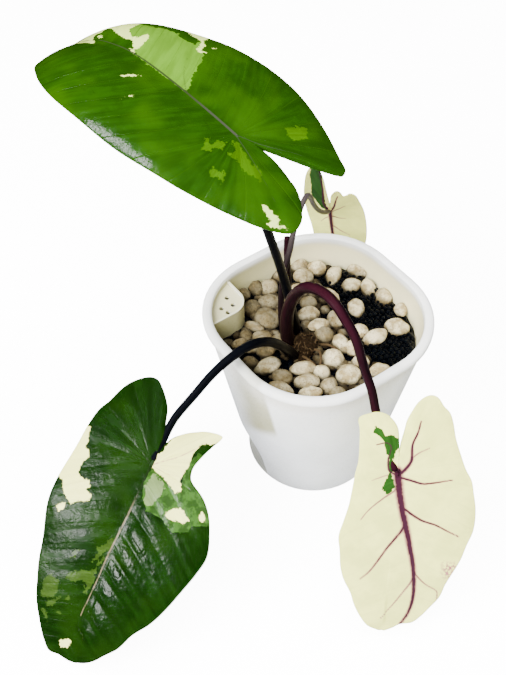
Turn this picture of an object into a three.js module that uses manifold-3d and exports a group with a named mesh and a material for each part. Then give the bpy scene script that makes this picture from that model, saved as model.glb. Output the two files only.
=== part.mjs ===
// A black stem alocasia in its pot, in millimetres, +Z up. The origin is the centre of the pot's underside.
// Four blades hang from long stalks that rise from a short rootstock. The rootstock stands in a pot of black
// granules under a top dressing of pumice pebbles.
import * as THREE from "three";
import { mergeVertices } from "three/addons/utils/BufferGeometryUtils.js";
import Module from "manifold-3d";

const GAP = 0.3; // clearance between pieces that touch
const RAD = Math.PI / 180;

// Pot: a rounded square that tapers to a round foot, turned about Z
const POT_TURN = 34.6 * RAD;
const POT_HEIGHT = 112.5;
const FOOT_HALF = 37;
const NECK_HALF = 52.8; // half side of the body, just under the lip
const NECK_CORNER = 41.2;
const RIM_HALF = 55;
const RIM_CORNER = 43.3;
const LIP_HEIGHT = 4.3;
const LIP_OUTSIDE = [[0, 0.9], [1.2, 0], [2.9, 0.1], [4, 0.9], [4.3, 2]]; // [height over the neck, inset]
const LIP_INSIDE = [[3.1, 5], [4.1, 4.3], [6.3, 4.1]];
const FOOT_EDGE = [1.2, 0.9]; // height and inset of the broken edge round the underside
const WALL = 2.4;
const FLOOR = 4;
const CORNER_STEPS = 7; // straight steps in each rounded corner
const LEAST_FLAT = 0.3; // half of the shortest flat between two corners

// Air column in the pot's left corner, in the pot's own turned axes
const COLUMN_X = -22;
const COLUMN_Y = 27.4;
const COLUMN_RADIUS = 10.5;
const COLUMN_REACH = 62; // well past the pot's outer wall
const COLUMN_TOP = 108;
const COLUMN_WALL = 1.8;
const PLATE_TOP = 106.8;
const PLATE_UNDER = 105.6;
const PLATE_HOLE_RADIUS = 1.3;
const PLATE_HOLES = [
  [-29.3, 39.8],
  [-29.7, 33.8],
  [-36, 35.2],
  [-34.8, 30.9],
];

// Arched opening at the foot and the duct that joins it to the column
const ARCH_AZIMUTH = 192 * RAD;
const ARCH_HALF = 19.5;
const ARCH_SPRING = 15;
const ARCH_SILL = 1.8; // the foot's plate runs on under the opening
const ARCH_BACK = 28; // distance of the niche's back wall from the pot's axis
const ARCH_WALL = 2.2;
const ARCH_REACH = 30; // well past the pot's outer wall
const DUCT_RADIUS = 4.5;
const DUCT_TOP = new THREE.Vector3(-30.5, 35.5, 84); // in the pot's turned axes
const DUCT_FOOT = new THREE.Vector3(-31.4, -10.8, 24);

// Growing medium
const FILL_TOP = 93;
const PATCH_TOP = 95.6; // where the granules lie open, on the right of the bed
const PATCH = [
  [8, 38],
  [18, 45],
  [35, 44],
  [43, 22],
  [50, -3],
  [46, -15],
  [37, -23],
  [26, -17],
  [21, -4],
  [15, 4],
  [9, 20],
];
const GRANULE_RADIUS = 2.1;
const GRANULE_PITCH = 4.6;
const GRANULE_SINK = 0.3;
const GRANULE_STAGGER = 0.5;
const WEB_TOP = 94.6; // thin bed of crushed pumice that joins the pebbles

// Pebbles: [x, y, length along X, length along Y, turn in degrees], tops at PEBBLE_TOP on average
const PEBBLE_TOP = 99.4;
const PEBBLE_TOP_SPREAD = 2.4;
const PEBBLE_RISE = [0.42, 0.8]; // half height as a share of the shorter length, and what is added to it
const PEBBLES = [
  [-38, 28, 7, 8, 0],
  [-31, 33, 8, 10, 10],
  [-24, 34, 10, 13, -10],
  [-34, 19, 10, 11, 0],
  [-24, 23, 13, 10, 5],
  [-26, 11, 14, 15, 20],
  [-33, 5, 12, 6, -35],
  [-37, -1, 8, 8, 0],
  [-28, -3, 11, 8, 0],
  [-41, -8, 8, 5, 25],
  [-34, -10, 9, 6, 30],
  [-27, -13, 10, 7, 0],
  [-35, -19, 9, 7, -20],
  [-26, -22, 15, 9, 25],
  [-19, -30, 11, 9, -30],
  [-9, -25, 13, 8, 5],
  [-7, -33, 13, 9, 0],
  [-20, -38, 13, 7, -30],
  [-6, -41, 12, 8, 0],
  [4, -36, 10, 10, 0],
  [1, -27, 9, 10, 0],
  [7, -18, 12, 12, 0],
  [14, -29, 13, 12, 20],
  [8, -42, 8, 6, 20],
  [30, -27, 11, 8, 20],
  [12, -7, 10, 13, 15],
  [19, -12, 9, 10, 0],
  [21, -21, 9, 8, 0],
  [22, 0, 10, 9, 0],
  [30, -5, 14, 8, 25],
  [42, 2, 13, 11, -20],
  [46, 14, 7, 9, 0],
  [38, 25, 10, 13, -10],
  [22, 17, 9, 13, -5],
  [30, 32, 8, 12, 10],
  [21, 34, 11, 9, 10],
  [26, 46, 14, 11, 10],
  [12, 42, 9, 13, -15],
  [3, 47, 10, 11, 0],
  [-7, 50, 10, 9, 0],
  [-5, 41, 11, 10, 0],
  [-17, 43, 11, 9, 0],
  [-8, 31, 11, 10, 0],
  [-16, 24, 9, 10, 0],
  [-3, 21, 9, 9, 0],
  [-4, 13, 12, 9, 10],
  [1, 4, 12, 7, 25],
  [4, -2, 10, 9, 0],
  [11, 9, 10, 12, 0],
  [9, 25, 8, 11, 35],
  [-17, 14, 8, 7, 0],
  [-20, -6, 8, 7, 0],
];
// Pebbles that lie on the open granules are held from below by short necks of pumice
const NECK_RADIUS = 1.3;
const NECKS = [
  [[38, 25], [30, 32]],
  [[30, 32], [21, 34]],
  [[38, 25], [46, 14]],
  [[22, 17], [11, 9]],
  [[42, 2], [46, 14]],
  [[30, -5], [22, 0]],
  [[46, 14], [52, 10]],
];

// Rootstock: rounded lumps as [x, y, z, radius X, radius Y, radius Z], and roots as points
const LUMPS = [
  [-12, -5, 85, 10, 11, 8],
  [-5, -8, 94, 5.6, 5.4, 6.6],
  [-9, -16, 92, 4.5, 4.5, 5],
];
const ROOTS = [
  [[-4, -11, 95], [0, -15, 98.6], [1, -20, 98.8], [0, -24, 95.5], [-1, -26, 88]],
  [[-9, -15, 95], [-6, -20, 98.2], [-2, -24, 97], [-3, -28, 88]],
  [[0, -6, 93], [6, -11, 98], [10, -14, 97.6], [14, -17, 90]],
];
const ROOT_RADIUS = 0.8;

// Stalks: centreline points, radius at the foot and at the blade, and the blade they carry
const STALKS = {
  top: {
    foot: 2.7,
    head: 2.1,
    points: [
      [-10.5, 1.5, 84],
      [-11, 1.3, 96.6],
      [-13, 0.2, 111.3],
      [-15.5, -1.3, 127.3],
      [-18, -3.1, 141.6],
      [-21.5, -6, 159],
      [-25, -8, 174],
      [-32, -12.5, 206],
      [-38.8, -16.9, 238],
    ],
  },
  left: {
    foot: 3,
    head: 2,
    points: [
      [-9, -13.5, 86],
      [-13, -16, 97],
      [-17.5, -20, 107],
      [-24, -24.5, 117],
      [-30, -29, 122.5],
      [-36, -33, 124.5],
      [-43, -37.5, 123],
      [-49, -41, 120],
      [-56, -45.5, 115],
      [-61.5, -49, 109.5],
      [-67, -52.5, 104.5],
      [-72.5, -56.5, 99.5],
      [-76.5, -61, 94.5],
      [-80, -67, 90],
      [-84.2, -74.4, 86],
    ],
  },
  right: {
    foot: 4,
    head: 2.1,
    points: [
      [-14.5, -6.6, 84.8],
      [-15.6, -6, 99.1],
      [-16.1, -6.3, 113.6],
      [-14.6, -8.6, 127.8],
      [-11.6, -12.7, 139.8],
      [-6.6, -19.7, 150.7],
      [-0.5, -27.5, 155],
      [5, -35.5, 155],
      [9, -41, 150.5],
      [13.5, -46.5, 144.5],
      [16, -50.5, 136.5],
      [19, -54, 126.5],
      [22, -58, 118.5],
      [24, -62, 108.5],
      [28, -70.5, 98],
      [31, -77.5, 91],
      [34, -83.6, 86],
    ],
  },
  back: {
    foot: 1.9,
    head: 1.3,
    points: [
      [-17, 2, 84],
      [-17.8, 3, 96],
      [-18.6, 5, 108],
      [-18.2, 7.5, 122],
      [-16.5, 11, 133],
      [-14, 15, 141],
      [-12, 20, 149.5],
      [-9.5, 26, 155],
      [-6.5, 33, 158.5],
      [-4, 40, 156],
      [-1.5, 47, 147],
      [1, 54, 136],
      [4.5, 62, 125.5],
      [8, 69, 118],
      [11.5, 75, 114],
    ],
  },
};
const STUB = {
  foot: 1.9,
  head: 1.7,
  points: [
    [-12, 6.5, 84],
    [-13, 8.7, 96.3],
    [-14.1, 12.2, 110.2],
    [-14.8, 16, 124.5],
    [-15.1, 19.4, 135.8],
    [-14.9, 22.1, 143.9],
  ],
};

// Blades: u runs along the midrib from the stalk to the tip, v to the blade's left, seen from above.
// heading, pitch and roll set the midrib at the stalk. The midrib then falls along arcs, in radians per mm.
const BLADE_THICKNESS = 0.8;
const RIB_THICKNESS = 0.9; // added under the midrib
const RIB_REACH = 2.5;
const GROOVE_REACH = 9;
const WAVE_LENGTH = 7; // of the margin, for each radian
const WAVE_START = [1, 2.5]; // on the left and the right half
const BLADE_RINGS = [0.25, 0.55, 0.82, 1];
const BLADES = {
  top: {
    at: [-38.8, -16.9, 238],
    heading: 136,
    pitch: 14.3,
    roll: 2,
    fall: 0.132,
    tipFrom: 55,
    tipFall: 0.65,
    lobeFall: -0.11,
    camber: 0.0018,
    valley: 1.4,
    wave: 0.5,
    rimPoints: 60,
    midrib: [[0, 0], [60, -2], [118, 0]],
    outline: [
      [-9.5, -2.6], [-12, -4], [-21, -8.3], [-32, -13.1], [-40, -16.6], [-43, -18.4], [-42, -22],
      [-36, -26], [-24, -33], [-8, -39.5], [8, -44], [20, -44.7], [32, -42.5], [47, -38.5], [64, -32],
      [81, -25], [96, -20.5], [108, -15], [115, -8], [118, 0], [115, 9], [109, 17], [101, 24], [92, 30],
      [80, 36.3], [64, 40.5], [47, 42], [30, 41.8], [14, 40.3], [-1, 37.8], [-15, 34], [-27, 31],
      [-38, 28], [-46, 24], [-50, 20], [-49, 14], [-45, 9], [-38, 3], [-30, -1], [-22, -3], [-14, -3],
    ],
  },
  left: {
    at: [-84.2, -74.4, 86],
    heading: 236.4,
    pitch: -36.7,
    roll: 0,
    fall: 0.19,
    tipFrom: 60,
    tipFall: 0,
    lobeFall: 0,
    camber: 0.0004,
    valley: 1.6,
    wave: 0.7,
    rimPoints: 58,
    midrib: [[0, 0], [26, -0.5], [51, -2.5], [67, -3.5], [81, -5], [115, -14]],
    outline: [
      [-4, -0.1], [-9, -0.4], [-15, -1.2], [-24, -4], [-29, -6], [-36, -12], [-38.5, -16], [-38, -20],
      [-32, -28], [-26, -32], [-18, -35], [-12, -38], [-2, -40], [6, -41], [27, -44], [42, -44],
      [61, -40], [71, -38], [81, -35], [93, -32], [104, -27], [112, -22], [116, -18], [115, -12],
      [114, -5], [111, 2], [106, 8], [98, 14], [90, 20], [80, 24.5], [70, 31], [58, 36.5], [48, 40],
      [36, 43.5], [26, 45], [16, 42], [8, 38], [2, 32], [-3, 22.5], [-8, 20.7], [-16, 22.5], [-22, 25],
      [-28, 27.5], [-27, 20], [-24, 14], [-20, 8], [-15, 3.2], [-9, 1.5],
    ],
  },
  right: {
    at: [34, -83.6, 86],
    heading: 263.5,
    pitch: -54,
    roll: 0,
    fall: 0.2,
    tipFrom: 60,
    tipFall: 0,
    lobeFall: 0,
    camber: 0.0006,
    valley: 1.2,
    wave: 1,
    rimPoints: 56,
    midrib: [[0, 0], [17, 3.5], [34, 8], [52, 12], [70, 13], [80, 11], [92, -1]],
    outline: [
      [-10, -0.4], [-18, -0.8], [-24, -2], [-29, -6.5], [-30.5, -11], [-29.5, -15.5], [-27, -20],
      [-22, -19.3], [-16, -19], [-6, -19], [0, -20], [10, -21], [18, -22], [26, -24], [34, -26],
      [42, -25], [52, -24], [60, -22], [68, -18], [74, -16], [82, -12], [88, -8], [91, -4], [92, -2],
      [89, 4], [86, 8], [84, 14], [80, 18], [74, 22], [67, 26], [58, 28], [52, 30], [42, 34], [35, 36],
      [27, 38.5], [16, 38.5], [6, 36.5], [0, 35], [-5, 32], [-12, 29], [-20, 26], [-28, 24], [-33, 22],
      [-36, 19], [-40, 16], [-41, 13], [-40, 10], [-37, 7], [-33, 5], [-28, 3], [-22, 2], [-16, 0.8],
      [-10, 0.2], [-4, 0.1],
    ],
  },
  back: {
    at: [11.5, 75, 114],
    heading: 80,
    pitch: -75,
    roll: 0,
    fall: 0.12,
    tipFrom: 40,
    tipFall: 0,
    lobeFall: 0,
    camber: 0.004,
    valley: 0.6,
    wave: 0.4,
    rimPoints: 44,
    midrib: [[0, 0], [22, -1.5], [61, -9]],
    outline: [
      [-5, 0], [-10, -0.3], [-16, -0.9], [-19.8, -3.5], [-18, -5.6], [-15, -7], [-16, -8.7],
      [-18.5, -10.8], [-17.5, -13.5], [-12, -16], [-4, -18.8], [6, -20.7], [18, -21.6], [30, -21.2],
      [42, -18.8], [52, -15], [61, -9], [54, -1], [44, 4], [30, 8], [15, 10.5], [2, 13], [-12, 14.4],
      [-24, 14.2], [-34, 13], [-39, 10.5], [-38, 7], [-31, 4.4], [-23, 3], [-13, 1.4],
    ],
  },
};

const COLOURS = {
  pot: 0xf0f0ec,
  granules: 0x14161a,
  pumice: 0xe2ddcd,
  bark: 0x4a3524,
  darkStalk: 0x1a1c20,
  maroonStalk: 0x3d1c24,
  green: 0x2f6b12,
  deepGreen: 0x1d4a14,
  cream: 0xeeeedb,
};

const wasm = await Module();
wasm.setup();

// A closed geometry as a solid that can be joined and cut.
function solid(geometry) {
  const bare = geometry.clone();
  bare.deleteAttribute("normal");
  bare.deleteAttribute("uv");
  const merged = mergeVertices(bare, 1e-4);
  return new wasm.Manifold(
    new wasm.Mesh({
      numProp: 3,
      vertProperties: merged.attributes.position.array,
      triVerts: new Uint32Array(merged.index.array),
    }),
  );
}

// The largest body of a solid as a geometry.
function geometryOf(shape) {
  const body = shape.decompose().sort((a, b) => b.volume() - a.volume())[0];
  const { vertProperties, triVerts } = body.getMesh();
  return indexedGeometry(vertProperties, triVerts);
}

function indexedGeometry(positions, indices) {
  const geometry = new THREE.BufferGeometry();
  geometry.setAttribute("position", new THREE.BufferAttribute(Float32Array.from(positions), 3));
  geometry.setIndex(new THREE.BufferAttribute(Uint32Array.from(indices), 1));
  geometry.computeVertexNormals();
  return geometry;
}

function union(shapes) {
  return shapes.reduce((all, shape) => all.add(shape));
}

// Small seeded random draw, the same on every run.
function seeded(seed) {
  let state = seed;
  return () => {
    state = (Math.imul(state, 1664525) + 1013904223) >>> 0;
    return state / 4294967296;
  };
}

// Closed solid through rings of equal length, with a fan over each end.
function loft(rings) {
  const count = rings[0].length;
  const positions = rings.flat().flatMap((p) => [p.x, p.y, p.z]);
  const indices = [];
  for (let k = 0; k + 1 < rings.length; k++) {
    for (let i = 0; i < count; i++) {
      const a = k * count + i;
      const b = k * count + ((i + 1) % count);
      indices.push(a, b, b + count, a, b + count, a + count);
    }
  }
  for (const [ring, start] of [[rings[0], 0], [rings.at(-1), (rings.length - 1) * count]]) {
    const centre = ring.reduce((sum, p) => sum.add(p), new THREE.Vector3()).divideScalar(count);
    const tip = positions.length / 3;
    positions.push(centre.x, centre.y, centre.z);
    for (let i = 0; i < count; i++) {
      const a = start + i;
      const b = start + ((i + 1) % count);
      indices.push(...(start === 0 ? [tip, b, a] : [tip, a, b]));
    }
  }
  return indexedGeometry(positions, indices);
}

// One level of the pot: a square of the given half side with rounded corners.
function roundedSquare(half, corner, z) {
  const radius = Math.min(corner, half - LEAST_FLAT);
  const ring = [];
  for (let quarter = 0; quarter < 4; quarter++) {
    for (let step = 0; step <= CORNER_STEPS; step++) {
      const angle = (quarter + step / CORNER_STEPS) * Math.PI / 2;
      const sx = quarter === 0 || quarter === 3 ? 1 : -1;
      const sy = quarter < 2 ? 1 : -1;
      const x = sx * (half - radius) + radius * Math.cos(angle);
      const y = sy * (half - radius) + radius * Math.sin(angle);
      ring.push(new THREE.Vector3(x, y, z).applyAxisAngle(new THREE.Vector3(0, 0, 1), POT_TURN));
    }
  }
  return ring;
}

// The tapering body at height z, moved inwards by inset.
function bodyRing(z, inset) {
  const share = z / (POT_HEIGHT - LIP_HEIGHT);
  const half = FOOT_HALF + (NECK_HALF - FOOT_HALF) * share - inset;
  const corner = FOOT_HALF + (NECK_CORNER - FOOT_HALF) * share - inset;
  return roundedSquare(half, corner, z);
}

function rimRing(z, inset) {
  return roundedSquare(RIM_HALF - inset, RIM_CORNER - inset, z);
}

// The space inside the pot, moved inwards by inset, from the floor up to a height.
function cavity(inset, bottom, top) {
  return solid(loft([bodyRing(bottom, WALL + inset), bodyRing(top, WALL + inset)]));
}

function turned(geometry) {
  return solid(geometry.applyMatrix4(new THREE.Matrix4().makeRotationZ(POT_TURN)));
}

// The air column as an upright prism with one rounded corner, grown by a margin.
function columnPrism(margin, bottom, top) {
  const shape = new THREE.Shape();
  const x = COLUMN_X + margin;
  const y = COLUMN_Y - margin;
  const r = COLUMN_RADIUS + margin;
  shape.moveTo(-COLUMN_REACH, y);
  shape.lineTo(x - r, y);
  shape.absarc(x - r, y + r, r, -Math.PI / 2, 0, false);
  shape.lineTo(x, COLUMN_REACH);
  shape.lineTo(-COLUMN_REACH, COLUMN_REACH);
  const sweep = { depth: top - bottom, bevelEnabled: false, curveSegments: 5 };
  return turned(new THREE.ExtrudeGeometry(shape, sweep).translate(0, 0, bottom));
}

// The arched niche at the foot, grown by a margin, from its back wall outwards.
function archPrism(margin) {
  const shape = new THREE.Shape();
  const half = ARCH_HALF + margin;
  shape.moveTo(-half, ARCH_SILL - margin);
  shape.lineTo(half, ARCH_SILL - margin);
  shape.lineTo(half, ARCH_SPRING);
  shape.absarc(0, ARCH_SPRING, half, 0, Math.PI, false);
  const sweep = { depth: ARCH_REACH, bevelEnabled: false, curveSegments: 10 };
  const outward = new THREE.Vector3(Math.cos(ARCH_AZIMUTH), Math.sin(ARCH_AZIMUTH), 0);
  const up = new THREE.Vector3(0, 0, 1);
  const across = new THREE.Vector3().crossVectors(up, outward);
  const place = new THREE.Matrix4().makeBasis(across, up, outward);
  place.setPosition(outward.multiplyScalar(ARCH_BACK - margin));
  return solid(new THREE.ExtrudeGeometry(shape, sweep).applyMatrix4(place));
}

// The duct from the column's foot to the niche.
function duct(radius) {
  const top = DUCT_TOP.clone().applyAxisAngle(new THREE.Vector3(0, 0, 1), POT_TURN);
  const run = new THREE.Vector3().subVectors(top, DUCT_FOOT);
  const tube = new THREE.CylinderGeometry(radius, radius, run.length(), 12);
  const turn = new THREE.Quaternion().setFromUnitVectors(new THREE.Vector3(0, 1, 0), run.clone().normalize());
  const middle = DUCT_FOOT.clone().addScaledVector(run, 0.5);
  return solid(tube.applyMatrix4(new THREE.Matrix4().compose(middle, turn, new THREE.Vector3(1, 1, 1))));
}

function potGeometry() {
  const neck = POT_HEIGHT - LIP_HEIGHT;
  const [edgeHeight, edgeInset] = FOOT_EDGE;
  const body = [bodyRing(0, edgeInset), bodyRing(edgeHeight, 0), bodyRing(neck, 0)];
  const lip = (profile) => profile.map(([height, inset]) => rimRing(neck + height, inset));
  const outer = solid(loft([...body, ...lip(LIP_OUTSIDE)]));
  const inside = solid(loft([bodyRing(FLOOR, WALL), bodyRing(neck - 1, WALL), ...lip(LIP_INSIDE)]));
  const column = columnPrism(0, FLOOR - 1, COLUMN_TOP);
  const added = union([column, duct(DUCT_RADIUS + COLUMN_WALL), archPrism(ARCH_WALL)]);
  const channel = columnPrism(-COLUMN_WALL, FLOOR + 2, PLATE_UNDER).add(duct(DUCT_RADIUS)).intersect(inside);
  const recess = columnPrism(-COLUMN_WALL, PLATE_TOP, COLUMN_TOP + 1).intersect(inside);
  const holes = PLATE_HOLES.map(([x, y]) => {
    const drill = new THREE.CylinderGeometry(PLATE_HOLE_RADIUS, PLATE_HOLE_RADIUS, 6, 10);
    return turned(drill.rotateX(Math.PI / 2).translate(x, y, PLATE_TOP));
  });
  const shell = outer.subtract(inside).add(added.intersect(outer));
  const cut = union([channel, recess, archPrism(0), ...holes]);
  return geometryOf(shell.subtract(cut));
}

// Stalk: a round tapering solid along a smooth curve, grown by a margin.
function stalkSolid({ points, foot, head }, margin = 0, sides = 8, spacing = 7) {
  const curve = new THREE.CatmullRomCurve3(points.map((p) => new THREE.Vector3(...p)), false, "centripetal");
  const steps = Math.ceil(curve.getLength() / spacing);
  const frames = curve.computeFrenetFrames(steps, false);
  const rings = [];
  for (let k = 0; k <= steps; k++) {
    const share = k / steps;
    const radius = head + (foot - head) * (1 - share) ** 2 + margin;
    const centre = curve.getPointAt(share);
    const ring = [];
    for (let i = 0; i < sides; i++) {
      const angle = (i / sides) * 2 * Math.PI;
      const offset = frames.normals[k].clone().multiplyScalar(Math.cos(angle) * radius);
      offset.addScaledVector(frames.binormals[k], Math.sin(angle) * radius);
      ring.push(centre.clone().add(offset));
    }
    rings.push(ring);
  }
  return solid(loft(rings));
}

// A run of length s on an arc that starts at a slope and falls by bend radians per mm.
function arc(slope, bend, s) {
  const end = slope - bend * s;
  if (Math.abs(bend) < 1e-6) {
    return { x: s * Math.cos(slope), z: s * Math.sin(slope), slope: end };
  }
  const x = (Math.sin(slope) - Math.sin(end)) / bend;
  const z = (Math.cos(end) - Math.cos(slope)) / bend;
  return { x, z, slope: end };
}

function midribAt(leaf, u) {
  if (u < 0) {
    return arc(0, leaf.lobeFall * RAD, u);
  }
  const first = arc(0, leaf.fall * RAD, Math.min(u, leaf.tipFrom));
  if (u <= leaf.tipFrom) {
    return first;
  }
  const second = arc(first.slope, (leaf.fall + leaf.tipFall) * RAD, u - leaf.tipFrom);
  return { x: first.x + second.x, z: first.z + second.z, slope: second.slope };
}

// Sideways place of the midrib at u, from its few points.
function midribOffset(leaf, u) {
  const { midrib } = leaf;
  const next = Math.max(1, midrib.findIndex(([along]) => along >= u));
  const [u0, v0] = midrib[next - 1];
  const [u1, v1] = midrib[next];
  return u <= u0 ? v0 : v0 + ((v1 - v0) * (u - u0)) / (u1 - u0);
}

// Height of the blade's middle layer over its flat pattern: camber, sunken midrib and waved margin.
function relief(leaf, u, v, share) {
  const side = v - midribOffset(leaf, u);
  const groove = leaf.valley * (1 - Math.exp(-((side / GROOVE_REACH) ** 2)));
  const wave = leaf.wave * share ** 3 * Math.sin(u / WAVE_LENGTH + WAVE_START[v > 0 ? 0 : 1]);
  return groove - leaf.camber * v * v + wave;
}

function bladePoint(leaf, u, v, height) {
  const { x, z, slope } = midribAt(leaf, u);
  return new THREE.Vector3(x - Math.sin(slope) * height, v, z + Math.cos(slope) * height);
}

// Blade in its own frame, at the stalk's end: a fan from the stalk out to the margin, alike on both faces.
function bladeGeometry(leaf, margin = 0) {
  const corners = leaf.outline.map(([u, v]) => new THREE.Vector3(u, v, 0));
  const curve = new THREE.CatmullRomCurve3(corners, true, "centripetal");
  const rim = curve.getSpacedPoints(leaf.rimPoints).slice(0, -1).reverse();
  const count = rim.length;
  const positions = [];
  const addPoint = (u, v, share, sign) => {
    const side = (v - midribOffset(leaf, u)) / RIB_REACH;
    const rib = RIB_THICKNESS * Math.exp(-(side ** 2)) * (1 - share ** 2);
    const offset = sign > 0 ? BLADE_THICKNESS / 2 : BLADE_THICKNESS / 2 + (u > -3 ? rib : 0);
    const p = bladePoint(leaf, u, v, relief(leaf, u, v, share) + sign * (offset + margin));
    positions.push(p.x, p.y, p.z);
  };
  for (const sign of [1, -1]) {
    addPoint(0, 0, 0, sign);
    for (const share of BLADE_RINGS) {
      rim.forEach(({ x, y }) => addPoint(x * share, y * share, share, sign));
    }
  }
  const under = 1 + BLADE_RINGS.length * count;
  const indices = [];
  const addFace = (a, b, c) => indices.push(a, c, b, a + under, b + under, c + under);
  for (let i = 0; i < count; i++) {
    const j = (i + 1) % count;
    addFace(0, 1 + i, 1 + j);
    for (let k = 0; k + 1 < BLADE_RINGS.length; k++) {
      const inner = 1 + k * count;
      const outer = inner + count;
      addFace(inner + i, outer + i, outer + j);
      addFace(inner + i, outer + j, inner + j);
    }
    const edge = 1 + (BLADE_RINGS.length - 1) * count;
    indices.push(edge + i, edge + j, edge + j + under, edge + i, edge + j + under, edge + i + under);
  }
  return indexedGeometry(positions, indices);
}

function bladePlace(leaf) {
  const turn = new THREE.Euler(leaf.roll * RAD, -leaf.pitch * RAD, leaf.heading * RAD, "ZYX");
  return { position: new THREE.Vector3(...leaf.at), quaternion: new THREE.Quaternion().setFromEuler(turn) };
}

function bladeSolid(leaf, margin) {
  const { position, quaternion } = bladePlace(leaf);
  const place = new THREE.Matrix4().compose(position, quaternion, new THREE.Vector3(1, 1, 1));
  return solid(bladeGeometry(leaf, margin).applyMatrix4(place));
}

// One lump of rock or root: a rounded solid with a slightly uneven skin.
function lump([x, y, z], radii, turn, random, uneven = 0.07) {
  const facets = new THREE.DodecahedronGeometry(1).deleteAttribute("normal").deleteAttribute("uv");
  const ball = mergeVertices(facets);
  const place = ball.attributes.position;
  for (let i = 0; i < place.count; i++) {
    const p = new THREE.Vector3().fromBufferAttribute(place, i);
    p.multiplyScalar(1 + (random() - 0.5) * 2 * uneven);
    p.multiply(radii);
    p.applyAxisAngle(new THREE.Vector3(0, 0, 1), turn);
    place.setXYZ(i, p.x + x, p.y + y, p.z + z);
  }
  return solid(ball);
}

function pebbles(margin) {
  const random = seeded(7);
  return PEBBLES.map(([x, y, lengthX, lengthY, turn]) => {
    const tall = PEBBLE_RISE[0] * Math.min(lengthX, lengthY) + PEBBLE_RISE[1];
    const top = PEBBLE_TOP + (random() - 0.5) * PEBBLE_TOP_SPREAD;
    const radii = new THREE.Vector3(lengthX / 2 + margin, lengthY / 2 + margin, tall + margin);
    return lump([x, y, top - tall], radii, turn * RAD, random);
  });
}

function necks(margin) {
  return NECKS.map(([from, to]) => {
    const start = new THREE.Vector3(...from, FILL_TOP + NECK_RADIUS + GAP);
    const end = new THREE.Vector3(...to, FILL_TOP + NECK_RADIUS + GAP);
    const run = new THREE.Vector3().subVectors(end, start);
    const radius = NECK_RADIUS + margin;
    const rod = new THREE.CylinderGeometry(radius, radius, run.length() + 2 * margin, 6);
    const turn = new THREE.Quaternion().setFromUnitVectors(new THREE.Vector3(0, 1, 0), run.normalize());
    const middle = start.add(end).multiplyScalar(0.5);
    return solid(rod.applyMatrix4(new THREE.Matrix4().compose(middle, turn, new THREE.Vector3(1, 1, 1))));
  });
}

function prismOver(outline, bottom, top) {
  const shape = new THREE.Shape(outline.map(([x, y]) => new THREE.Vector2(x, y)));
  const prism = new THREE.ExtrudeGeometry(shape, { depth: top - bottom, bevelEnabled: false });
  return solid(prism.translate(0, 0, bottom));
}

// A patch outline moved outwards from its middle by a margin.
function grownPatch(margin) {
  const middle = new THREE.Vector2();
  PATCH.forEach(([x, y]) => middle.add(new THREE.Vector2(x, y).divideScalar(PATCH.length)));
  return PATCH.map(([x, y]) => {
    const out = new THREE.Vector2(x, y).sub(middle);
    out.setLength(out.length() + margin).add(middle);
    return [out.x, out.y];
  });
}

// Whether a granule at x, y would be hidden by a pebble that lies over it.
function underPebble(x, y) {
  return PEBBLES.some(([cx, cy, lengthX, lengthY]) => {
    const reach = GRANULE_RADIUS * 0.7;
    return Math.hypot((x - cx) / (lengthX / 2 + reach), (y - cy) / (lengthY / 2 + reach)) < 1;
  });
}

// Open granules in a close, slightly uneven lattice of half-sunk balls.
function openGranules() {
  const random = seeded(11);
  const xs = PATCH.map(([x]) => x);
  const ys = PATCH.map(([, y]) => y);
  const rowGap = GRANULE_PITCH * Math.sin(Math.PI / 3);
  const balls = [];
  for (let row = 0, y = Math.min(...ys); y < Math.max(...ys); row++, y += rowGap) {
    const start = Math.min(...xs) + (row % 2) * GRANULE_PITCH * GRANULE_STAGGER;
    for (let x = start; x < Math.max(...xs); x += GRANULE_PITCH) {
      const ball = new THREE.IcosahedronGeometry(GRANULE_RADIUS, 0);
      ball.translate(x + random() - 0.5, y + random() - 0.5, PATCH_TOP - GRANULE_SINK + random() * 0.5);
      if (!underPebble(x, y)) {
        balls.push(solid(ball));
      }
    }
  }
  const skirt = prismOver(grownPatch(-1), FILL_TOP, PATCH_TOP + 3);
  return prismOver(PATCH, FILL_TOP - 1, PATCH_TOP).add(union(balls).intersect(skirt));
}

function rootstock(margin) {
  const random = seeded(3);
  const lumps = LUMPS.map(([x, y, z, rx, ry, rz]) =>
    lump([x, y, z], new THREE.Vector3(rx + margin, ry + margin, rz + margin), 0.3, random, 0.06),
  );
  const roots = ROOTS.map((points) => {
    const root = { points, foot: ROOT_RADIUS, head: ROOT_RADIUS };
    return stalkSolid(root, margin, 6, 4);
  });
  return union([...lumps, ...roots]);
}

const stalks = [...Object.values(STALKS), STUB];
const stalkHoles = union(stalks.map((stalk) => stalkSolid(stalk, GAP)));

function pumiceGeometry() {
  const opening = prismOver(grownPatch(GAP), FILL_TOP, WEB_TOP + 1);
  const web = cavity(GAP, FILL_TOP + GAP, WEB_TOP).subtract(opening);
  const above = cavity(GAP, FILL_TOP + GAP, POT_HEIGHT - LIP_HEIGHT - 1);
  const stones = union([...pebbles(0), ...necks(0)]).intersect(above);
  const clear = union([columnPrism(GAP, FLOOR, COLUMN_TOP), stalkHoles, rootstock(GAP)]);
  return geometryOf(web.add(stones).subtract(clear));
}

function granuleGeometry() {
  const fill = cavity(GAP, FLOOR + GAP, FILL_TOP);
  const patch = openGranules().intersect(cavity(GAP, FLOOR, PATCH_TOP + 3));
  const open = patch.subtract(union([...pebbles(GAP), ...necks(GAP)]));
  const pot = [
    columnPrism(GAP, FLOOR, COLUMN_TOP),
    duct(DUCT_RADIUS + COLUMN_WALL + GAP),
    archPrism(ARCH_WALL + GAP),
  ];
  return geometryOf(fill.add(open).subtract(union([...pot, stalkHoles, rootstock(GAP)])));
}

function material(color, roughness) {
  return new THREE.MeshStandardMaterial({ color, roughness, metalness: 0 });
}

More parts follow.
